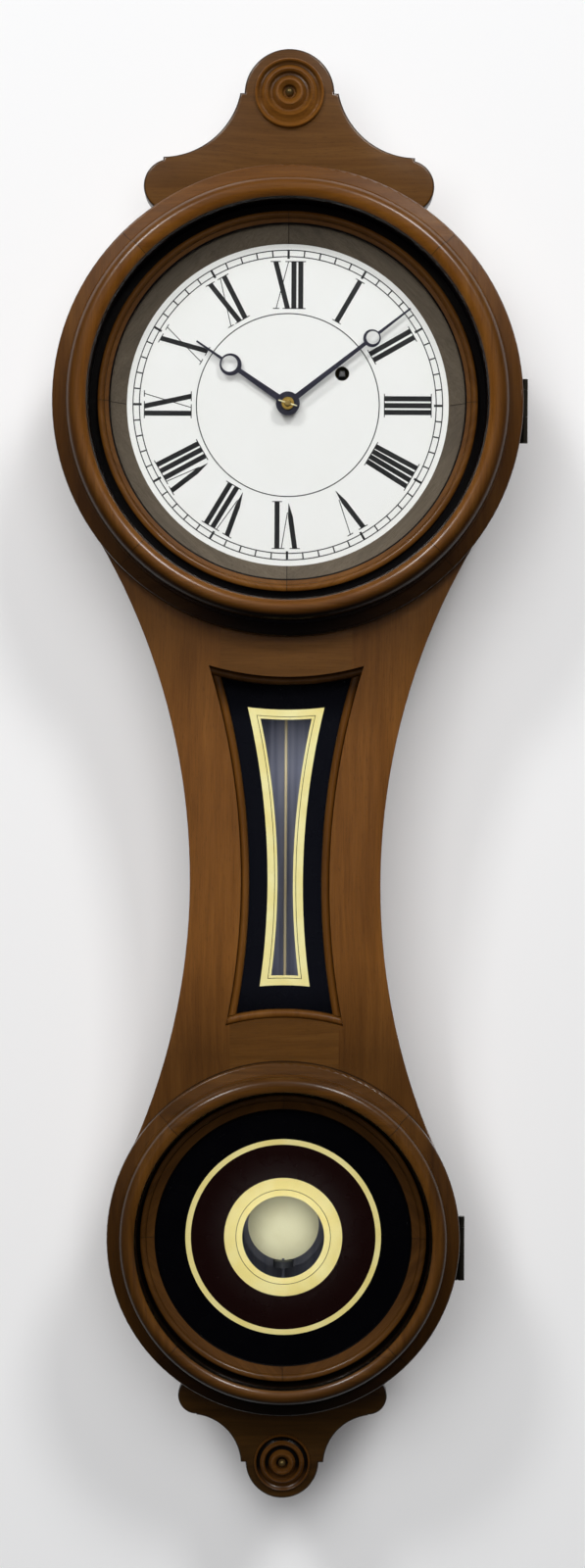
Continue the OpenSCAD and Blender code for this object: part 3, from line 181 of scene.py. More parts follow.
class Finish:
    """A material that is being mixed."""

    def __init__(self, name, blocks=bpy.data.materials, output="ShaderNodeOutputMaterial"):
        self.block = blocks.new(name)
        self.block.use_nodes = True
        self.tree = self.block.node_tree
        self.tree.nodes.clear()
        self.output = self.tree.nodes.new(output)

    def fill(self, socket, value):
        if isinstance(value, Wire):
            self.tree.links.new(value.socket, socket)
        elif value is not None:
            screen_colour = isinstance(value, tuple) and len(value) == 3
            socket.default_value = colour(*value) if screen_colour else value

    def node(self, kind, settings=None, *values, out=0, **named):
        made = self.tree.nodes.new(kind)
        for key, setting in (settings or {}).items():
            if key == "stops":
                self.set_stops(made.color_ramp, setting)
            else:
                setattr(made, key, setting)
        for socket, value in zip(made.inputs, values):
            self.fill(socket, value)
        for name, value in named.items():
            self.fill(made.inputs[name.replace("_", " ")], value)
        return Wire(self, made.outputs[out])

    def set_stops(self, ramp, stops):
        while len(ramp.elements) < len(stops):
            ramp.elements.new(1)
        for element, (at, tone) in zip(ramp.elements, stops):
            element.position = at
            element.color = colour(*tone) if len(tone) == 3 else tone

    def ramp(self, value, stops):
        return self.node("ShaderNodeValToRGB", {"stops": stops}, value)

    def split(self, vector):
        made = self.node("ShaderNodeSeparateXYZ", None, vector)
        return [Wire(self, output) for output in made.socket.node.outputs]

    def place(self):
        return self.split(self.node("ShaderNodeTexCoord", out="Object"))

    def join(self, x, y, z):
        return self.node("ShaderNodeCombineXYZ", None, x, y, z)

    def waves(self, lengths, per_metre, detail, distortion=0.0):
        scaled = self.join(*(length * count for length, count in zip(lengths, per_metre)))
        return self.node(
            "ShaderNodeTexNoise", None, scaled, Scale=1.0, Detail=detail, Distortion=distortion
        )

    def blend(self, share, first, second, how="MIX"):
        settings = {"data_type": "RGBA", "blend_type": how, "clamp_factor": True}
        made = self.node("ShaderNodeMix", settings, out=MIX_COLOUR_OUT)
        inputs = made.socket.node.inputs
        for index, value in ((MIX_SHARE, share), (MIX_FIRST, first), (MIX_SECOND, second)):
            self.fill(inputs[index], value)
        return made

    def bump(self, height, strength, distance):
        return self.node("ShaderNodeBump", None, Strength=strength, Distance=distance, Height=height)

    def surface(self, **named):
        return self.node("ShaderNodeBsdfPrincipled", None, **named)

    def painted(self, **named):
        return self.done(self.surface(**named))

    def chosen(self, share, first, second):
        return self.done(self.node("ShaderNodeMixShader", None, share, first, second))

    def done(self, shader):
        self.tree.links.new(shader.socket, self.output.inputs[0])
        print("finish:", self.block.name, "nodes:", len(self.tree.nodes))
        return self.block


def colour(red, green, blue):
    def linear(value):
        share = value / 255
        return share / 12.92 if share <= 0.04045 else ((share + 0.055) / 1.055) ** 2.4

    return (linear(red), linear(green), linear(blue), 1)


def distance(one, other):
    return (one * one + other * other).power(0.5)


def tones(*screen_colours):
    return tuple(colour(*screen_colour) for screen_colour in screen_colours)


# %% [markdown]
# The case is black walnut under old shellac. Walnut has long, soft bands of darker wood, fine
# fibre lines and short open pores, all of them drawn out along the grain. So every noise below is
# squeezed: a few waves per metre along the grain and hundreds across it.
# A round frame can't be cut from one board. It is made of four segments whose grain runs straight,
# so on the rings the grain direction is chosen by the quarter that a point lies in, each quarter
# is cut from its own board, and the joints between them show as fine dark lines.


# %% Grain directions
COS_45 = 0.7071
JOINT_HALF_WIDTH = 0.00036
NEXT_BOARD_ALONG = 1.7
NEXT_BOARD_ACROSS = 0.31


def straight(along_axis):
    """Lengths along the grain, across it and into the wood, and no joints."""

    def grain(finish):
        x, y, z = finish.place()
        return (x, z, y, None) if along_axis == "x" else (z, x, y, None)

    return grain


def quarters(centre_z, turned=False):
    """The same for a ring of four segments, whose joints lie on the axes if it is turned."""

    def grain(finish):
        x, y, z = finish.place()
        z = z - centre_z
        if turned:
            x, z = (x + z) * COS_45, (z - x) * COS_45
        side = abs(x) > abs(z)
        along = x + side * (z - x)
        across = z + side * (x - z)
        segment = side * (x.sign() + 4) + (1 - side) * z.sign() * 2
        joint = abs(abs(x) - abs(z)) < JOINT_HALF_WIDTH
        return along + segment * NEXT_BOARD_ALONG, across + segment * NEXT_BOARD_ACROSS, y, joint

    return grain


# %% [markdown]
# The same recipe serves all the boards. Three tones of one wood are mixed by the broad figure and
# the bands, the fibre darkens them a little, and the pores cut in. Wood that has been polished for
# a century is calm: the tones lie close together. The shellac is a thin clear coat, which is never
# quite flat, and a very shallow, wide bump shows that in the highlights.


# %% Walnut
WANDER_WAVES = (6, 16, 16)
WANDER = 0.014
FIGURE_WAVES = (7, 26, 26)
BAND_WAVES = (10, 240, 110)
FIBRE_WAVES = (45, 1400, 900)
PORE_WAVES = (170, 2600, 2000)
POLISH_WAVES = (25, 60, 60)
FIGURE_SHARE, BAND_SHARE = 0.55, 0.45
TONE_SPREAD = 0.19
FIBRE_TONES = [(0.3, (0.8, 0.78, 0.76, 1)), (0.62, (1.06, 1.06, 1.06, 1))]
FIBRE_SHARE = 0.8
PORE_START, PORE_SLOPE, PORE_SHARE, PORE_TONE = 0.62, 9, 0.45, 0.4
JOINT_SHARE, JOINT_DEPTH = 0.75, 3
COAT, REFLECTION = 0.4, 0.25
JOINT_COLOUR = (24, 13, 6)
PAINTED_SHADE_COLOUR = (5, 3, 2)


def ring_place(finish, centre_z):
    """Radius in millimetres, and how low a point lies: 1 at the foot of the ring, -1 at its top."""
    x, y, z = finish.place()
    x = x * MM_PER_M
    z = (z - centre_z) * MM_PER_M
    radius = distance(x, z)
    return radius, 0 - z / radius


def walnut(name, wood_tones, grain, shine=0.28, figure=1.0, painted_shade=None, polish=1.0):
    finish = Finish("walnut_" + name)
    along, across, depth, joint = grain(finish)
    across = across + finish.waves((along, across, depth), WANDER_WAVES, 1.0) * WANDER
    grown = (along, across, depth)
    broad = finish.waves(grown, FIGURE_WAVES, 3.0, 0.5)
    bands = finish.waves(grown, BAND_WAVES, 3.0, 0.3)
    fibre = finish.waves(grown, FIBRE_WAVES, 3.0)
    pores = finish.waves(grown, PORE_WAVES, 1.0)
    dark, middle, light = wood_tones
    tone = broad * FIGURE_SHARE + bands * BAND_SHARE
    spread = TONE_SPREAD / figure
    wood = finish.ramp(tone, [(0.5 - spread, dark), (0.5, middle), (0.5 + spread, light)])
    wood = finish.blend(FIBRE_SHARE, wood, finish.ramp(fibre, FIBRE_TONES), "MULTIPLY")
    pore = pores.rise(PORE_START, PORE_SLOPE)
    wood = finish.blend(pore * PORE_SHARE, wood, tuple(c * PORE_TONE for c in dark[:3]) + (1,))
    relief = fibre * 0.3 - pore * 0.2
    if joint is not None:
        wood = finish.blend(joint * JOINT_SHARE, wood, JOINT_COLOUR)
        relief = relief - joint * JOINT_DEPTH
    coat = COAT * polish
    # Painted shade: where the given share is high, the wood turns towards near black and loses its
    # coat.
    if painted_shade is not None:
        shade_share = painted_shade(finish).least(1)
        wood = finish.blend(shade_share, wood, PAINTED_SHADE_COLOUR)
        coat = (1 - shade_share) * coat
    waved = finish.bump(finish.waves(grown, POLISH_WAVES, 1.0), strength=0.2, distance=0.0008)
    normal = finish.bump(relief, strength=0.16, distance=0.0001)
    finish.fill(normal.socket.node.inputs["Normal"], waved)
    return finish.painted(
        Base_Color=wood,
        Roughness=shine + fibre * 0.12 + pore * 0.2,
        Specular_IOR_Level=REFLECTION * polish,
        Coat_Weight=coat,
        Coat_Roughness=0.17,
        Normal=normal,
    )


fair = tones((90, 53, 15), (109, 67, 21), (126, 82, 31))
warm = tones((92, 55, 16), (115, 72, 25), (131, 85, 34))
brown = tones((70, 43, 12), (86, 54, 17), (99, 65, 24))
# deep is the back board's own tone, and the lower ring's walnut darkened as painted shade.
deep = tones((62, 37, 11), (84, 52, 17), (103, 66, 24))
# The pendant's walnut, darkened as painted shade under the lower ring.
pendant_shade_tones = tones((34, 21, 7), (50, 32, 11), (66, 43, 16))

# %% [markdown]
# Painted shade is a share between 0 and 1 for each point of the wood, which darkens it where little
# light
# reaches: in the lips and grooves of the turned rings, at the ends of the waist, under the top rail,
# round the edges of the ornament boards and in the coves of the rosettes. What faces the floor is
# darker, as the light comes from above.


# %% Painted shade in the hollows
WAIST_Y = -282
WAIST_Z = place(0, WAIST_Y, 0).z
ROSETTES = ((185.5, 20.7), (-136.4 - LOWER_DROP, 16.7))
ROLL_FADE, ROLL_UNDER, ROLL_PAINTED_SHADE = 6, 0.44, 0.56
BEAD_UNDER, BEAD_PAINTED_SHADE = 0.28, 0.48
UPPER_END, UPPER_FADE, LOWER_END, LOWER_FADE, END_PAINTED_SHADE = 85, 65, 45, 55, 0.56
WINDOW_SHADE_Z = place(0, -182, 0).z
WINDOW_SLOPE, WINDOW_PAINTED_SHADE, WINDOW_TOP_PAINTED_SHADE = 60, 0.25, 0.62
ORNAMENT_MIDDLE_D, ORNAMENT_HALF_T, EDGE_SKIN, EDGE_PAINTED_SHADE = 77, 7, 0.15, 0.7
COVES = ((0.85, 0.07), (0.54, 0.07), (0.17, 0.04))
COVE_UNDER, COVE_PAINTED_SHADE, LOWER_ROSETTE_PAINTED_SHADE = 0.3, 0.45, 0.6


def moulding_painted_shade(lip_r, crown_r, centre_z):
    """Painted shade: dark inside the lip of a turned roll, and darker on the side that looks at the
    floor.
    """

    def painted_shade(finish):
        radius, low = ring_place(finish, centre_z)
        outer = radius.rise(crown_r, 1 / ROLL_FADE)
        return (radius < lip_r).most(outer * (low * ROLL_UNDER + ROLL_PAINTED_SHADE))

    return painted_shade


def bead_painted_shade(outer_r, inner_r, centre_z):
    """Painted shade: black in the groove outside a bead and at the glass, and darker where the roll
    shades it.
    """

    def painted_shade(finish):
        radius, low = ring_place(finish, centre_z)
        return ((radius > outer_r) + (radius < inner_r)).most(BEAD_PAINTED_SHADE - low * BEAD_UNDER)

    return painted_shade


def end_painted_shade(finish):
    """Painted shade: darker towards the rings, where the rings keep the light off the waist."""
    x, y, z = finish.place()
    up = (z - WAIST_Z) * MM_PER_M
    return up.rise(UPPER_END, 1 / UPPER_FADE).most((0 - up).rise(LOWER_END, 1 / LOWER_FADE)) * END_PAINTED_SHADE


def window_painted_shade(finish):
    """Painted shade on the moulding round the waist window: a little darker all over in its recess,
    and black under the top rail.
    """
    x, y, z = finish.place()
    return WINDOW_PAINTED_SHADE + z.rise(WINDOW_SHADE_Z, WINDOW_SLOPE) * WINDOW_TOP_PAINTED_SHADE


def edge_painted_shade(finish):
    """Painted shade on the eased edges and sides of the ornament boards, darker than their front and
    back faces.
    """
    x, y, z = finish.place()
    depth = (0 - y) * MM_PER_M - ORNAMENT_MIDDLE_D
    return (abs(depth) < ORNAMENT_HALF_T - EDGE_SKIN) * EDGE_PAINTED_SHADE


def rosette_painted_shade(finish):
    """Painted shade: dark in the coves, more so above, and all over on the lower one, which hangs
    under the lower ring.
    """
    x, y, z = finish.place()
    (upper_up, upper_r), (lower_up, lower_r) = ROSETTES
    lower = z < WAIST_Z
    centre_z = place(0, upper_up, 0).z - lower * ((upper_up - lower_up) * MM)
    radius, low = ring_place(finish, centre_z)
    share = radius / (upper_r - lower * (upper_r - lower_r))
    outer, middle, inner = (abs(share - cove) < half for cove, half in COVES)
    return outer.most(middle).most(inner) * (COVE_PAINTED_SHADE - low * COVE_UNDER) + lower * LOWER_ROSETTE_PAINTED_SHADE


# %% [markdown]
# The front rings are the palest walnut. The lower ring and the pendant are darker copies of it,
# painted shade for the weaker light low down. Crest and rails run across, the stiles and the curved
# sides run down, and the turned rings run in quarters. The inner ring of each door ends in a groove
# under the main moulding, painted black as shade, and a dark line of painted shade runs round it at
# the glass.

# %% Wood for each part
upper_ring_wood = walnut(
    "upper_ring", fair, quarters(DIAL_CENTRE_Z), shine=0.24,
    painted_shade=moulding_painted_shade(lip_r=117, crown_r=120, centre_z=DIAL_CENTRE_Z),
)
upper_bead_wood = walnut(
    "upper_bead", warm, quarters(DIAL_CENTRE_Z, turned=True),
    painted_shade=bead_painted_shade(outer_r=111.1, inner_r=104.7, centre_z=DIAL_CENTRE_Z),
)
lower_ring_wood = walnut(
    "lower_ring", deep, quarters(lower_centre_z), shine=0.24,
    painted_shade=moulding_painted_shade(lip_r=86.6, crown_r=88, centre_z=lower_centre_z),
)
lower_bead_wood = walnut(
    "lower_bead", deep, quarters(lower_centre_z, turned=True),
    painted_shade=bead_painted_shade(outer_r=83.5, inner_r=75.3, centre_z=lower_centre_z),
)
upright_wood = walnut("upright", warm, straight("z"), figure=0.8, painted_shade=end_painted_shade)
side_wood = walnut("side", warm, straight("z"), shine=0.3)
upper_case_wood = walnut("upper_case", warm, quarters(DIAL_CENTRE_Z), shine=0.3)
lower_case_wood = walnut("lower_case", warm, quarters(lower_centre_z), shine=0.3)
window_wood = walnut("window_moulding", warm, straight("z"), shine=0.26, painted_shade=window_painted_shade)
rail_wood = walnut("rail", brown, straight("x"), figure=0.8)
back_wood = walnut("back", deep, straight("z"), shine=0.4)
crest_wood = walnut("crest", brown, straight("x"), figure=0.8, painted_shade=edge_painted_shade)
turned_wood = walnut("rosette", warm, straight("x"), shine=0.24, painted_shade=rosette_painted_shade)
pendant_wood = walnut("pendant", pendant_shade_tones, straight("x"), painted_shade=edge_painted_shade)

# %% [markdown]
# The ring that slopes down to the dial has no polish left and has gone grey with dust and light.
# It is the same wood with a duller tone and a rougher face.

# %% Greyed wood
grey_tones = tones((84, 76, 66), (100, 90, 77), (114, 103, 88))
surround_wood = walnut(
    "greyed", grey_tones, quarters(DIAL_CENTRE_Z, turned=True),
    shine=0.45, figure=0.8, polish=0.2,
)


# %% [markdown]
# Metals. Brass that was lacquered long ago has cloudy, browner places and fine scratches. The
# wheels and the bob were turned, so their scratches go round, while the plates were rubbed along.
# The hinges stand in the open and have gone almost black.


# %% Metals
RUBBED_WAVES = (2600, 2600, 90)
TURNED_WAVES = (3500, 300, 1)
CLOUD_WAVES = (90, 90, 90)
CLOUD_START, CLOUD_SLOPE = 0.45, 4
SCRATCH_SHARE = 0.3


def metal(name, base, stain, shine, share, cloud=0.5, turned_at=None):
    finish = Finish(name)
    x, y, z = finish.place()
    if turned_at is None:
        scratches = finish.waves((x, y, z), RUBBED_WAVES, 2.0)
    else:
        radius = distance(x - turned_at[0], z - turned_at[1])
        scratches = finish.waves((radius, y, 0.5), TURNED_WAVES, 2.0)
    clouds = finish.waves((x, y, z), CLOUD_WAVES, 4.0, 0.6)
    patch = clouds.rise(CLOUD_START, CLOUD_SLOPE) * cloud
    tone = finish.blend(patch, base, stain)
    return finish.painted(
        Base_Color=finish.blend(scratches * SCRATCH_SHARE, tone, stain),
        Metallic=share,
        Roughness=shine + patch * 0.2 + scratches * 0.1,
        Normal=finish.bump(scratches + clouds * 0.5, strength=0.12, distance=0.00005),
    )


brass = metal("lacquered_brass", (214, 184, 112), (150, 116, 58), shine=0.26, share=0.9)
pale_brass = metal(
    "turned_brass", (250, 246, 205), (232, 224, 176),
    shine=0.62, share=0.0, cloud=0.3, turned_at=(0, lower_centre_z),
)
knob_brass = metal("knob_brass", (128, 108, 66), (74, 58, 32), shine=0.34, share=0.8, cloud=0.6)
dark_brass = metal("blackened_brass", (52, 48, 38), (20, 19, 16), shine=0.42, share=0.8, cloud=0.8)
polished_steel = metal("polished_steel", (150, 149, 150), (92, 88, 84), shine=0.3, share=0.9)
# The rating nut's steel, darkened as painted shade for the dark space under the bob.
shaded_dull_steel = metal("shaded_dull_steel", (50, 52, 56), (36, 37, 40), shine=0.5, share=0.2)
blued_steel = metal("blued_steel", (58, 58, 72), (34, 33, 42), shine=0.34, share=0.7, cloud=0.4)
black_iron = metal("japanned_iron", (28, 28, 29), (14, 14, 14), shine=0.4, share=0.1)
cast_metal = metal("cast_weight", (98, 98, 99), (60, 58, 56), shine=0.58, share=0.7, cloud=0.8)


# %% [markdown]
# Two brass parts change colour along their length. The collet that holds the hands is turned with two
# fine steps, drawn as painted shade in a dark ring at the step and a dark rim, and its taper pin is
# paler than its disc.
# The pendulum rod is bright with painted shade along its two sides, and its threaded end below the bob
# is dull steel, darkened as painted shade where it hangs in the dark.


# %% Brass that varies
COLLET_PIN_ANGLE = 17
COLLET_STEP_R = 1.75
COLLET_STEP_HALF = 0.28
COLLET_RIM_R = 3.5
PIN_HALF_WIDTH = 0.5
COLLET_WAVES = (5, 1, 1)
TURNED_TONES = [(0.3, (150, 116, 44)), (0.7, (206, 172, 84))]
ROD_WAVES = (400, 400, 40)
ROD_TONES = [(0.3, (250, 226, 172)), (0.7, (255, 240, 200))]
ROD_SHADE_START, ROD_SHADE_SLOPE = 0.95, 4


def collet_brass():
    finish = Finish("turned_collet")
    x, y, z = finish.place()
    z = (z - DIAL_CENTRE_Z) * MM_PER_M
    x = x * MM_PER_M
    turn = math.radians(COLLET_PIN_ANGLE)
    from_pin = abs(x * math.sin(turn) + z * math.cos(turn))
    radius = distance(x, z)
    step = abs(radius - COLLET_STEP_R) < COLLET_STEP_HALF
    rim = radius > COLLET_RIM_R
    turned = finish.waves((radius, 0.5, 0.5), COLLET_WAVES, 2.0)
    disc = finish.ramp(turned, TURNED_TONES)
    # Painted shade: a dark ring at the step and a dark rim.
    stepped = finish.blend(step.most(rim) * 0.75, disc, (58, 42, 16))
    tone = finish.blend(from_pin < PIN_HALF_WIDTH, stepped, (246, 238, 196))
    return finish.painted(Base_Color=tone, Metallic=0.55, Roughness=0.3 + turned * 0.1)


def rod_brass():
    finish = Finish("pendulum_rod_brass")
    x, y, z = finish.place()
    clouds = finish.waves((x, y, z), ROD_WAVES, 3.0)
    # Painted shade along the rod's two sides.
    edge = (abs(x) * MM_PER_M).rise(ROD_SHADE_START, ROD_SHADE_SLOPE)
    drawn = finish.blend(edge * 0.7, finish.ramp(clouds, ROD_TONES), (80, 60, 30))
    # The end below the bob: steel, darkened as painted shade.
    tone = finish.blend(z < lower_centre_z, drawn, (80, 82, 92))
    return finish.painted(Base_Color=tone, Roughness=0.35 + clouds * 0.1)


collet_finish = collet_brass()
rod_finish = rod_brass()

# %% [markdown]
# Glass. A light can't be sampled through real glass, so the dial would go dark behind it. The
# usual way round is to let shadow rays pass straight through. Diffuse rays pass too, or the same
# lamp would be counted twice. For the camera and for reflections the pane stays real glass.


# %% Glass
GLASS_COLOUR = (0.985, 0.995, 0.99, 1)
GLASS_WAVES = (18, 1, 9)


def glass():
    finish = Finish("window_glass")
    ripple = finish.waves(finish.place(), GLASS_WAVES, 1.0)
    pane = finish.surface(
        Base_Color=GLASS_COLOUR,
        Roughness=0.0,
        IOR=1.45,
        Transmission_Weight=1.0,
        Normal=finish.bump(ripple, strength=0.05, distance=0.002),
    )
    clear = finish.node("ShaderNodeBsdfTransparent")
    shadow = finish.node("ShaderNodeLightPath", out="Is Shadow Ray")
    diffuse = finish.node("ShaderNodeLightPath", out="Is Diffuse Ray")
    return finish.chosen(shadow.most(diffuse), pane, clear)


window_glass = glass()


# %% [markdown]
# Paint and leaf lie on the back of the glass. The black is slightly uneven and turns to a very
# dark red round the lower window. Gold leaf is laid in small squares, so it is a little lighter
# and darker in patches, and fine cracks let the ground show.


# %% Paint behind glass
MAROON_R = 0.0557
MOTTLE_WAVES = (60, 60, 60)
LEAF_WAVES = (70, 1, 50)
CRACK_WAVES = (900, 1, 900)
CRACK_START, CRACK_SLOPE = 0.66, 12
LEAF_TONES = [(0.35, (248, 233, 152)), (0.65, (254, 245, 178))]
LOWER_LEAF_Z = WAIST_Z - 0.15


def back_paint():
    finish = Finish("black_and_maroon_paint")
    x, y, z = finish.place()
    drop = z - lower_centre_z
    red = distance(x, drop) < MAROON_R
    mottle = finish.waves((x, y, z), MOTTLE_WAVES, 3.0)
    ground = finish.blend(red, (2, 2, 4), (21, 7, 6))
    tone = finish.blend(mottle * 0.12, ground, (14, 12, 12))
    return finish.painted(Base_Color=tone, Roughness=0.22 + mottle * 0.1, Specular_IOR_Level=0.2)


def gold_leaf():
    finish = Finish("gold_leaf")
    x, y, z = finish.place()
    leaves = finish.waves((x, y, z), LEAF_WAVES, 2.0)
    cracks = finish.waves((x, y, z), CRACK_WAVES, 3.0, 1.2)
    worn = cracks.rise(CRACK_START, CRACK_SLOPE)
    tone = finish.ramp(leaves, LEAF_TONES)
    tone = finish.blend((z < LOWER_LEAF_Z) * 0.3, tone, (200, 176, 88))
    return finish.painted(
        Base_Color=finish.blend(worn * 0.3, tone, (170, 140, 70)),
        Metallic=0.12,
        Roughness=0.36 + worn * 0.3,
        Normal=finish.bump(cracks, strength=0.1, distance=0.00004),
    )


paint = back_paint()
leaf = gold_leaf()


# %% [markdown]
# The dial is sheet metal under many thin coats of white paint, faintly cloudy, and towards its rim a
# touch warmer with age and a touch darker as painted shade. The print on it is a glossy black. The
# board behind the lower opening carries a grey-blue wash, brushed on from top to bottom, and is darker
# at its foot, painted shade inside the case.


# %% Dial, print, board and cable
DIAL_WAVES = (30, 1, 30)
DIAL_RIM_R, DIAL_RIM_SLOPE = 0.075, 30
SPECK_WAVES = (900, 1, 900)
SPECK_START, SPECK_SLOPE = 0.74, 12
PRINT_WAVES = (500, 1, 500)
PRINT_TONES = [(0.3, (12, 12, 13)), (0.75, (28, 29, 29))]
BRUSH_WAVES = (260, 200, 6)
WASH_WAVES = (30, 30, 14)
WASH_TONES = [(0.36, (132, 136, 160)), (0.5, (168, 172, 196)), (0.64, (194, 196, 214))]
LOW_SHADE_Z, LOW_SHADE_SLOPE, LOW_SHADE_SHARE = -0.578, 40, 0.8
GUT_WAVES = (900, 900, 300)
GUT_TONES = [(0.35, (126, 100, 62)), (0.65, (178, 152, 106))]


def dial_paint():
    finish = Finish("dial_paint")
    x, y, z = finish.place()
    up = z - DIAL_CENTRE_Z
    rim = distance(x, up).rise(DIAL_RIM_R, DIAL_RIM_SLOPE)
    clouds = finish.waves((x, y, z), DIAL_WAVES, 4.0)
    specks = finish.waves((x, y, z), SPECK_WAVES, 1.0).rise(SPECK_START, SPECK_SLOPE)
    white = finish.blend(clouds * 0.6, (246, 246, 244), (237, 237, 232))
    # Darker and warmer towards the rim: age, and painted shade at the dial's edge.
    aged_and_shaded = finish.blend(rim * 0.35, white, (228, 228, 220))
    return finish.painted(
        Base_Color=finish.blend(specks * 0.25, aged_and_shaded, (190, 180, 160)),
        Roughness=0.42 + clouds * 0.12,
        Normal=finish.bump(clouds, strength=0.05, distance=0.0002),
    )


def dial_print():
    finish = Finish("dial_print")
    wear = finish.waves(finish.place(), PRINT_WAVES, 3.0)
    tone = finish.ramp(wear, PRINT_TONES)
    return finish.painted(Base_Color=tone, Roughness=0.3 + wear * 0.2)


def washed_board():
    finish = Finish("grey_blue_wash")
    x, y, z = finish.place()
    brush = finish.waves((x, y, z), BRUSH_WAVES, 4.0, 0.4)
    clouds = finish.waves((x, y, z), WASH_WAVES, 3.0)
    tone = finish.ramp(brush * 0.6 + clouds * 0.4, WASH_TONES)
    # Painted shade at the board's foot, inside the case below the bob.
    low_shade = z.rise(LOW_SHADE_Z, -LOW_SHADE_SLOPE)
    tone = finish.blend(low_shade * LOW_SHADE_SHARE, tone, (30, 32, 34))
    relief = finish.bump(brush, strength=0.2, distance=0.0003)
    return finish.painted(Base_Color=tone, Roughness=0.6, Normal=relief)


def gut():
    finish = Finish("gut_cable")
    strands = finish.waves(finish.place(), GUT_WAVES, 2.0)
    tone = finish.ramp(strands, GUT_TONES)
    relief = finish.bump(strands, strength=0.4, distance=0.0001)
    return finish.painted(Base_Color=tone, Roughness=0.5, Normal=relief)


white_paint = dial_paint()
print_black = dial_print()
grey_wash = washed_board()
gut_finish = gut()

# %% [markdown]
# Most CAD nodes already have the right shape and only get a finish. One table says which.

# %% Finishes for the CAD nodes
wears = {
    upper_ring_wood: "upper_front_ring upper_bezel_front",
    upper_case_wood: "upper_case_ring",
    upper_bead_wood: "upper_bezel_back",
    lower_ring_wood: "lower_front_ring lower_bezel_front",
    lower_case_wood: "lower_case_ring",
    lower_bead_wood: "lower_bezel_back",
    upright_wood: "stile_left stile_right",
    side_wood: "case_sides",
    window_wood: "waist_moulding",
    rail_wood: "top_rail bottom_rail",
    back_wood: "backboard upper_glass_bead lower_glass_bead",
    crest_wood: "crest_board",
    turned_wood: "rosettes",
    pendant_wood: "pendant_board",
    surround_wood: "dial_surround",
    brass: (
        "back_plate front_plate pillars suspension_cock centre_wheel hour_wheel minute_wheel "
        "third_wheel escape_wheel great_wheel weight_pulley"
    ),
    collet_finish: "hand_collet",
    rod_finish: "pendulum_rod",
    pale_brass: "bob",
    dark_brass: "hinge_fixed_leaves upper_hinge_leaf lower_hinge_leaf",
    shaded_dull_steel: "rating_nut",
    polished_steel: "hanger_plate screws cannon_pinion click barrel verge",
    blued_steel: "minute_hand hour_hand",
    black_iron: "movement_seat",
    cast_metal: "weight",
    window_glass: "tablet_glass upper_glass lower_glass",
    paint: "tablet_paint lower_glass_paint",
    leaf: "tablet_gilding lower_glass_gilding",
    white_paint: "dial",
    grey_wash: "baffle",
    gut_finish: "weight_cable",
}
for finish_made, names in wears.items():
    for name in names.split():
        shown = nodes[name]
        shown.data.materials.clear()
        shown.data.materials.append(finish_made)
print("CAD nodes without a finish:", sorted(set(nodes) - set(" ".join(wears.values()).split())))


# %% [markdown]
# New pieces are built from points. `new_piece` turns a list of points and faces into an object,
# checks which way the faces look, makes round faces smooth, and says which body carries it. Most
# shapes here are rows of points, one behind the other, and `strips` makes the faces between them.


# %% Making a piece
SMOOTH_BELOW = 32


def strips(start, rows, count):
    """Faces that join each closed row of points to the next one."""
    faces = []
    for row in range(rows - 1):
        first = start + row * count
        for k in range(count):
            here, after = first + k, first + (k + 1) % count
            faces.append([here, after, after + count, here + count])
    return faces


def new_piece(name, points, faces, finish_made, body, replaces=()):
    mesh = bpy.data.meshes.new(name)
    mesh.from_pydata([tuple(p) for p in points], [], faces)
    work = bmesh.new()
    work.from_mesh(mesh)
    bmesh.ops.recalc_face_normals(work, faces=work.faces)
    work.to_mesh(mesh)
    work.free()
    mesh.shade_smooth()
    mesh.set_sharp_from_angle(angle=math.radians(SMOOTH_BELOW))
    mesh.materials.append(finish_made)
    piece = show(name, mesh)
    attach(piece, body)
    if replaces:
        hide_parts(*replaces)
    print("piece:", name, "points:", len(points))
    return piece


# %% [markdown]
# A saw leaves a board with square edges, and a maker eases them with a plane, because a sharp edge
# chips and takes no polish. In a picture it shows as a thin line round a board. The outline is read
# from the front face of the CAD node, so it can't differ from it. It is then repeated a few times,
# each a little further in and a little further forward.


# %% Outline of a flat board
SAME_PLACE = 1e-6
DECIMALS = 6
HAIRPIN = 0.3
MITRE_LIMIT = 0.5


def front_outline(node):
    """The corners round the front face of a flat CAD node, in order."""
    mesh = nodes[node].data
    front = min(v.co.y for v in mesh.vertices)
    back = max(v.co.y for v in mesh.vertices)
    keys = [(round(v.co.x, DECIMALS), round(v.co.z, DECIMALS)) for v in mesh.vertices]
    used = {}
    for face in mesh.polygons:
        if all(abs(mesh.vertices[k].co.y - front) < SAME_PLACE for k in face.vertices):
            corners = [keys[k] for k in face.vertices]
            for edge in zip(corners, corners[1:] + corners[:1]):
                used[edge] = True
    after = {a: b for a, b in used if (b, a) not in used}
    start = next(iter(after))
    outline = [start]
    while after[outline[-1]] != start:
        outline.append(after[outline[-1]])
    return outline, front, back


def inward(outline):
    """For each corner, the direction into the board that keeps both its edges parallel."""
    area = sum(a[0] * b[1] - b[0] * a[1] for a, b in zip(outline, outline[1:] + outline[:1]))
    side = 1 if area > 0 else -1
    found = []
    for k, here in enumerate(outline):
        before = Vector(here) - Vector(outline[k - 1])
        after = Vector(outline[(k + 1) % len(outline)]) - Vector(here)
        one = Vector((-before.y, before.x)).normalized() * side
        two = Vector((-after.y, after.x)).normalized() * side
        middle = one + two
        if middle.length < HAIRPIN:
            middle = one
        middle.normalize()
        found.append(middle / max(middle.dot(one), MITRE_LIMIT))
    return found


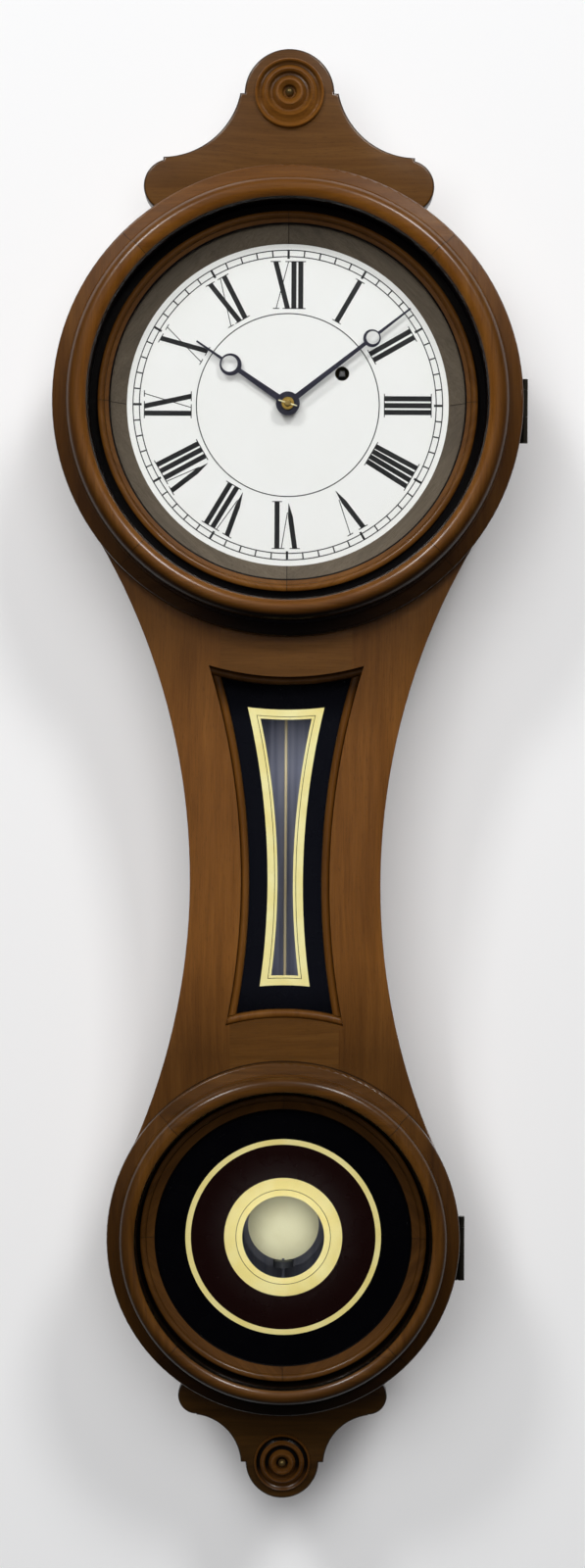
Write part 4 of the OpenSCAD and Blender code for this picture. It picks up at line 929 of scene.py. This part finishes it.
# %% [markdown]
# Only free edges are eased. Where a stile meets a rail the faces run flush, so there the outline
# stays where it is. The outer edge of a stile is hollow: part of a circle that touches the ring and
# passes the waist. The thin tips behind the rings keep their square edge too.


# %% Eased boards
EASE_STEPS = 4
CREST_EASE, PENDANT_EASE, STILE_EASE = 1.5, 1.3, 0.9
WAIST_HALF = 56
UPPER_RING_R = 136.5
LOWER_RING_R = 102
EASED_ABOVE = 180
EASED_BELOW = 150
ON_CURVE = 0.4


def eased_board(name, node, ease, finish_made, free=lambda x, z: True):
    outline, front, back = front_outline(node)
    ways = inward(outline)
    shares = [ease * MM if free(x, z) else 0.0 for x, z in outline]
    points = [(x, back, z) for x, z in outline]
    for step in range(EASE_STEPS + 1):
        turn = math.radians(90 * step / EASE_STEPS)
        for (x, z), way, share in zip(outline, ways, shares):
            inset = share * (1 - math.cos(turn))
            y = front + ease * MM * (1 - math.sin(turn))
            points.append((x + way.x * inset, y, z + way.y * inset))
    count = len(outline)
    faces = [list(range(count)), [(EASE_STEPS + 1) * count + k for k in reversed(range(count))]]
    faces += strips(0, EASE_STEPS + 2, count)
    return new_piece(name, points, faces, finish_made, "case", [node])


def hollow(ring_r, drop):
    """How far out the centre of a hollow side lies, and its radius."""
    radius = (WAIST_HALF**2 + drop**2 - ring_r**2) / (2 * (ring_r - WAIST_HALF))
    return WAIST_HALF + radius, radius


UPPER_HOLLOW = hollow(UPPER_RING_R, WAIST_Y)
LOWER_HOLLOW = hollow(LOWER_RING_R, LOWER_DROP + WAIST_Y)


def on_hollow(x, z):
    """True on the outer, curved edge of the waist, as far as it isn't behind a ring."""
    across, up = abs(x) / MM, (z - DIAL_CENTRE_Z) / MM - WAIST_Y
    centre, radius = UPPER_HOLLOW if up > 0 else LOWER_HOLLOW
    off = abs(math.hypot(across - centre, up) - radius)
    return -EASED_BELOW < up < EASED_ABOVE and off < ON_CURVE


eased_board("crest", "crest_board", CREST_EASE, crest_wood)
eased_board("pendant", "pendant_board", PENDANT_EASE, pendant_wood)
for side in ("left", "right"):
    eased_board(f"waist_stile_{side}", f"stile_{side}", STILE_EASE, upright_wood, on_hollow)

# %% [markdown]
# The two rosettes were turned on a lathe, so one profile, swept once round, gives both: a thin
# outer bead, a cove, a second bead, a deeper cove and a small crown. A brass knob sits in the
# middle. The lower rosette is the same pattern on a smaller scale. Each profile is written as
# shares of the radius: how far from the middle, and how far out from the board.


# %% Rosettes and knobs
ROSETTE_D = 84
ROSETTE_STEPS, KNOB_STEPS = 96, 40
ROSETTE_PROFILE = (
    (1.0, 0.0), (1.0, 0.085), (0.985, 0.13), (0.96, 0.15), (0.93, 0.13), (0.9, 0.09), (0.85, 0.07),
    (0.79, 0.09), (0.73, 0.15), (0.69, 0.2), (0.665, 0.22), (0.64, 0.2), (0.6, 0.13), (0.55, 0.09),
    (0.49, 0.1), (0.44, 0.17), (0.41, 0.24), (0.37, 0.285), (0.32, 0.29), (0.26, 0.24), (0.2, 0.16),
    (0.17, 0.1), (0.0, 0.1),
)
KNOB_PROFILE = (
    (0.11, 0.08), (0.125, 0.14), (0.115, 0.2), (0.08, 0.25), (0.04, 0.272), (0.0, 0.28),
)


def turned(name, profile, steps, finish_made, slot, replaced=()):
    """One profile, turned at both places."""
    points, faces = [], []
    for up, radius in ROSETTES:
        start = len(points)
        for share, rise in profile[:-1]:
            for k in range(steps):
                turn = 2 * math.pi * k / steps
                across, over = radius * share * math.cos(turn), radius * share * math.sin(turn)
                points.append(place(across, up + over, ROSETTE_D + radius * rise))
        points.append(place(0, up, ROSETTE_D + radius * profile[-1][1]))
        rows = len(profile) - 1
        faces += strips(start, rows, steps)
        last = start + (rows - 1) * steps
        for k in range(steps):
            faces.append([last + k, last + (k + 1) % steps, len(points) - 1])
        faces.append([start + k for k in reversed(range(steps))])
    return new_piece(name, points, faces, finish_made, "case", replaced)


turned("rosettes_turned", ROSETTE_PROFILE, ROSETTE_STEPS, turned_wood, "walnut", ["rosettes"])
turned("rosette_knobs", KNOB_PROFILE, KNOB_STEPS, knob_brass, "brass")

# %% [markdown]
# The gut line leaves the barrel, runs down to the pulley on the weight, half round it and up again
# to its fixed end. The weight pulls it taut. Its route is the CAD's, point for point.

# %% Route of the weight line
CABLE_D = 25
CABLE_FALL_X, CABLE_FALL_Y = 25.79, 18.69
PULLEY_X, PULLEY_Y, PULLEY_R = 10.79, -70, 15
CABLE_END_X, CABLE_END_Y = -4.21, -26
CABLE_DIAMETER = 1.0 * MM
FALL_STEPS, BEND_STEPS, RISE_STEPS = 8, 16, 5
path = []
for k in range(FALL_STEPS):
    path.append((CABLE_FALL_X, CABLE_FALL_Y + (PULLEY_Y - CABLE_FALL_Y) * k / FALL_STEPS))
for k in range(BEND_STEPS + 1):
    turn = math.pi * k / BEND_STEPS
    path.append((PULLEY_X + PULLEY_R * math.cos(turn), PULLEY_Y - PULLEY_R * math.sin(turn)))
for k in range(1, RISE_STEPS + 1):
    path.append((CABLE_END_X, PULLEY_Y + (CABLE_END_Y - PULLEY_Y) * k / RISE_STEPS))
route = [place(across, up, CABLE_D) for across, up in path]
cable_length = sum((b - a).length for a, b in zip(route, route[1:]))
print("cable length", round(cable_length, 4))

# %% [markdown]
# A curve with a round section draws the line. When the weight drops, more line leaves the barrel.
# The curve is turned into a mesh.

# %% Weight line
cable_curve = bpy.data.curves.new("weight_line", "CURVE")
cable_curve.dimensions = "3D"
cable_curve.bevel_depth = CABLE_DIAMETER / 2
cable_curve.use_fill_caps = True
spline = cable_curve.splines.new("POLY")
spline.points.add(len(route) - 1)
for point, at in zip(spline.points, route):
    point.co = (*at, 1)
cable_curve.materials.append(gut_finish)
cable_form = show("cable_form", cable_curve)
evaluated = cable_form.evaluated_get(bpy.context.evaluated_depsgraph_get())
cable_mesh = bpy.data.meshes.new_from_object(evaluated)
bpy.data.objects.remove(cable_form)
weight_line = show("weight_line", cable_mesh)
tuple(place(PULLEY_X, CABLE_END_Y, CABLE_D))
tuple(place(PULLEY_X, PULLEY_Y, CABLE_D))
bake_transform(weight_line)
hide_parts("weight_cable")
print("weight line points:", len(cable_mesh.vertices))

# %% [markdown]
# The print on the dial is raised by a few hundredths of a millimetre, as real paint is. Every
# stroke is a small flat prism. `Print` collects them, so that a whole set becomes one piece.


# %% Flat prisms
class Print:
    """Flat shapes of paint, gathered into one mesh."""

    def __init__(self, low, high):
        self.low = low
        self.high = high
        self.points = []
        self.faces = []

    def add(self, outline):
        start, count = len(self.points), len(outline)
        for out in (self.low, self.high):
            self.points += [place(across, up, out) for across, up in outline]
        self.faces.append([start + k for k in range(count)])
        self.faces.append([start + count + k for k in reversed(range(count))])
        self.faces += strips(start, 2, count)

    def made(self, name):
        return new_piece(name, self.points, self.faces, print_black, "case")

    def ring(self, radius, width, count=240):
        start = len(self.points)
        inner, outer, low, high = radius - width / 2, radius + width / 2, self.low, self.high
        for k in range(count):
            turn = 2 * math.pi * k / count
            for r, out in ((inner, low), (outer, low), (outer, high), (inner, high)):
                self.points.append(place(r * math.sin(turn), r * math.cos(turn), out))
        for k in range(count):
            here, there = start + 4 * k, start + 4 * ((k + 1) % count)
            for j in range(4):
                after = (j + 1) % 4
                self.faces.append([here + j, there + j, there + after, here + after])


# %% [markdown]
# The chapter ring has two fine circles with a tick for every minute between them, and a thicker
# tick at every fifth. A single fine circle closes the numerals' inner ends. A tick is given by half
# its width and how far it reaches past the inner and the outer circle.

# %% Minute track
PRINT_T = 0.06
OVERLAP_T = 0.01
TRACK_OUT_R = 91.4
TRACK_IN_R = 87.6
INNER_CIRCLE_R = 54.0
FINE_LINE = 0.62
MINUTES, FIFTH = 60, 5
FIFTH_TICK = (0.68, 1.3, 0.3)
OTHER_TICK = (0.4, 0.2, 0.2)


def around(clock_angle, across, radius):
    """A place given by its clock angle, its distance along the circle and its radius."""
    turn = math.radians(clock_angle)
    return (
        radius * math.sin(turn) + across * math.cos(turn),
        radius * math.cos(turn) - across * math.sin(turn),
    )


def bar(target, clock_angle, low, high):
    """A stroke from one (across, radius, half width) to another."""
    corners = []
    for (across, radius, half), side in ((low, -1), (low, 1), (high, 1), (high, -1)):
        corners.append(around(clock_angle, across + side * half, radius))
    target.add(corners)


track = Print(DIAL_D, DIAL_D + PRINT_T)
for radius in (TRACK_OUT_R, TRACK_IN_R, INNER_CIRCLE_R):
    track.ring(radius, FINE_LINE)
ticks = Print(DIAL_D, DIAL_D + PRINT_T + OVERLAP_T)
for minute in range(MINUTES):
    half, inside, outside = OTHER_TICK if minute % FIFTH else FIFTH_TICK
    angle = 360 / MINUTES * minute
    bar(ticks, angle, (0, TRACK_IN_R - inside, half), (0, TRACK_OUT_R + outside, half))
track.made("dial_track")
ticks.made("dial_ticks")

# %% [markdown]
# The Roman numerals stand with their feet to the centre. Each letter is given by where its
# strokes start and end across the numeral, as painted: an I has one thick stroke, a V a thick one
# on its left and a hairline on its right, and an X a thick and a thin one that cross. Hairline
# serifs close the ends.

# %% Numerals
FOOT_R = 57.0
HEAD_R = 84.7
THICK = 1.5
HAIR = 0.26
SERIF = 0.27
FOOT_SERIF, HEAD_SERIF, HAIR_SERIF = THICK + 1.4, THICK + 1.5, 1.9
HAIRLINE_LOWER = 0.015
TIP_HALF, TIP_RAISED, TIP_LENGTH, TIP_SHARE = 0.1, 1, 8.2, 0.3
HAIR_START, HAIR_SHARE = 5.5, 0.16
numerals = {
    30: [("I", 0, 0)],
    60: [("I", -2.1, -2.1), ("I", 2.1, 2.2)],
    90: [("I", -4.05, -4.05), ("I", 0, 0), ("I", 4.05, 4.05)],
    120: [("I", -5.1, -6.1), ("I", -1.7, -2.0), ("I", 1.7, 2.0), ("I", 5.1, 6.1)],
    150: [("V", 0.6, -3.0, 5.8)],
    180: [("V", -0.8, -4.5, 3.4), ("I", 6.0, 6.0)],
    210: [("V", -3.1, -7.8, -0.6), ("I", 1.4, 2.0), ("I", 5.9, 6.4)],
    240: [("V", -6.4, -9.9, -3.7), ("I", -1.9, -1.3), ("I", 2.4, 3.3), ("I", 6.4, 7.6)],
    270: [("I", -5.2, -5.2), ("X", 4.9, -1.1, -1.8, 6.4)],
    300: [("X", 3.5, -3.7, -3.9, 3.8)],
    330: [("X", -0.2, -4.5, -6.1, 2.4), ("I", 3.6, 4.9)],
    0: [("X", -0.5, -7.6, -7.2, 0.0), ("I", 3.2, 3.2), ("I", 7.25, 7.25)],
}
strokes = Print(DIAL_D, DIAL_D + PRINT_T)
hairlines = Print(DIAL_D, DIAL_D + PRINT_T - HAIRLINE_LOWER)
serifs = Print(DIAL_D, DIAL_D + PRINT_T + OVERLAP_T)


def serif(clock_angle, across, radius, reach):
    bar(serifs, clock_angle, (across, radius - SERIF, reach), (across, radius + SERIF, reach))


def v_strokes(clock_angle, foot, head, thin_head):
    """A thick stroke that tapers to its tip, and a hairline that leaves it a little above."""
    tip = FOOT_R + TIP_RAISED
    full = (foot + (head - foot) * TIP_SHARE, tip + TIP_LENGTH, THICK)
    bar(strokes, clock_angle, (foot, tip, TIP_HALF), full)
    bar(strokes, clock_angle, full, (head, HEAD_R, THICK))
    branch = (foot + (thin_head - foot) * HAIR_SHARE, tip + HAIR_START, HAIR)
    bar(hairlines, clock_angle, branch, (thin_head, HEAD_R, HAIR))


for clock_angle, letters in numerals.items():
    for letter, foot, head, *thin in letters:
        if letter == "V":
            v_strokes(clock_angle, foot, head, thin[0])
        else:
            bar(strokes, clock_angle, (foot, FOOT_R, THICK), (head, HEAD_R, THICK))
            serif(clock_angle, foot, FOOT_R, FOOT_SERIF)
        if letter == "X":
            bar(hairlines, clock_angle, (thin[0], FOOT_R, HAIR), (thin[1], HEAD_R, HAIR))
            serif(clock_angle, thin[0], FOOT_R, HAIR_SERIF)
        if thin:
            serif(clock_angle, thin[-1], HEAD_R, HAIR_SERIF)
        serif(clock_angle, head, HEAD_R, HEAD_SERIF)
strokes.made("numeral_strokes")
hairlines.made("numeral_hairlines")
serifs.made("numeral_serifs")

# %% [markdown]
# The floor and the wall are plain and pale and aren't part of the clock. The wall stands just
# behind the back board, so the case throws soft shadows on it. Seen from behind it would hide the
# clock, so its back is clear.


# %% Floor and wall
ROOM_HALF = 4
FLOOR_Z = -2.0
FLOOR_FRONT = -2.6
WALL_Y = 0.004
WALL_TOP = 2.4


def plain_wall():
    finish = Finish("pale_wall")
    wall_paint = finish.node("ShaderNodeBsdfDiffuse", None, (246, 246, 246))
    clear = finish.node("ShaderNodeBsdfTransparent")
    behind = finish.node("ShaderNodeNewGeometry", out="Backfacing")
    return finish.chosen(behind, wall_paint, clear)


def dim_floor():
    """Pale where the camera sees it, but as dark as the rest of the room in reflections."""
    finish = Finish("pale_floor")
    seen = finish.node("ShaderNodeBsdfDiffuse", None, (240, 240, 240))
    reflected = finish.node("ShaderNodeBsdfDiffuse", None, (60, 57, 54))
    camera_ray = finish.node("ShaderNodeLightPath", out="Is Camera Ray")
    return finish.chosen(camera_ray, reflected, seen)


def stage_sheet(name, left_low, right_high, finish_made):
    """A level or upright rectangle between two opposite corners."""
    (left, front, low), (right, back, high) = left_low, right_high
    corners = [(left, front, low), (right, front, low), (right, back, high), (left, back, high)]
    mesh = bpy.data.meshes.new(name)
    mesh.from_pydata(corners, [], [list(range(len(corners)))])
    mesh.materials.append(finish_made)
    sheet = show(name, mesh)
    return sheet


wall = stage_sheet(
    "wall", (-ROOM_HALF, WALL_Y, FLOOR_Z), (ROOM_HALF, WALL_Y, WALL_TOP), plain_wall()
)
stage_sheet(
    "floor", (-ROOM_HALF, FLOOR_FRONT, FLOOR_Z), (ROOM_HALF, ROOM_HALF, FLOOR_Z), dim_floor()
)
print("wall at", WALL_Y, "floor at", FLOOR_Z)


# %% [markdown]
# Two soft lamps stand high on both sides, the right one a little larger and stronger. They give the
# highlights on the turned rings, and the hands' soft shadows on the dial. A third, wide one in front
# fills the grooves, and no reflection or pane shows it. The wall casts no shadow, so a lamp behind
# it lights the clock's back for a reader who turns the clock round.


# %% Lamps
LAMPS = {
    "lamp_left": ((-1.6, -3.0, 2.25), (0, 0, -0.25), 0.73, 43),
    "lamp_right": ((1.3, -3.0, 2.2), (0, 0, -0.25), 0.82, 49),
    "lamp_front": ((-0.2, -2.8, 0.3), (0, 0, -0.3), 1.8, 50),
    "lamp_behind": ((0.7, 2.8, 0.9), (0, 0, -0.3), 1.6, 34),
}


def lamp(name, kind, at, target, power):
    data = bpy.data.lights.new(name, kind)
    data.energy = power
    made = show(name, data)
    made.location = at
    made.rotation_euler = (Vector(target) - Vector(at)).to_track_quat("-Z", "Y").to_euler()
    return made


for name, (at, target, size, power) in LAMPS.items():
    soft_lamp = lamp(name, "AREA", at, target, power)
    soft_lamp.data.shape = "RECTANGLE"
    soft_lamp.data.size = size
    soft_lamp.data.size_y = size
    soft_lamp.visible_glossy = name != "lamp_front"
    soft_lamp.visible_transmission = name != "lamp_front"
wall.visible_shadow = False
print("lamps:", len(LAMPS))

# %% [markdown]
# A narrow spot from the front lights the bob and the board behind the lower window, which the
# frame would leave in the dark.

# %% Lamp for the lower window
SPOT_PLACE = (0, -2.4, -0.4)
SPOT_POWER = 66
SPOT_ANGLE = 1.5
spot = lamp("lamp_lower_window", "SPOT", SPOT_PLACE, place(0, -LOWER_DROP, DIAL_D), SPOT_POWER)
spot.data.spot_size = math.radians(SPOT_ANGLE)
spot.data.spot_blend = 0.3
spot.data.shadow_soft_size = 0.02
print("spot at", SPOT_PLACE)

# %% [markdown]
# The room itself is dim, darker below than above, which keeps the wood rich. One paler band at
# mid height stands for the daylight that the glass shows. A camera that looks away from the wall
# sees a pale backdrop instead.


# %% Room
ROOM_TONES = [
    (0.2, (14, 14, 14)),
    (0.455, (16, 16, 16)),
    (0.459, (92, 96, 116)),
    (0.513, (92, 96, 116)),
    (0.517, (12, 12, 14)),
    (0.95, (70, 72, 78)),
]


def dim_room():
    finish = Finish("room", bpy.data.worlds, "ShaderNodeOutputWorld")
    x, y, z = finish.split(finish.node("ShaderNodeTexCoord", out="Generated"))
    light = finish.node("ShaderNodeBackground", None, finish.ramp(z * 0.5 + 0.5, ROOM_TONES))
    seen = finish.node("ShaderNodeBackground", None, (238, 238, 238))
    camera_ray = finish.node("ShaderNodeLightPath", out="Is Camera Ray")
    return finish.chosen(camera_ray, light, seen)


scene.world = dim_room()
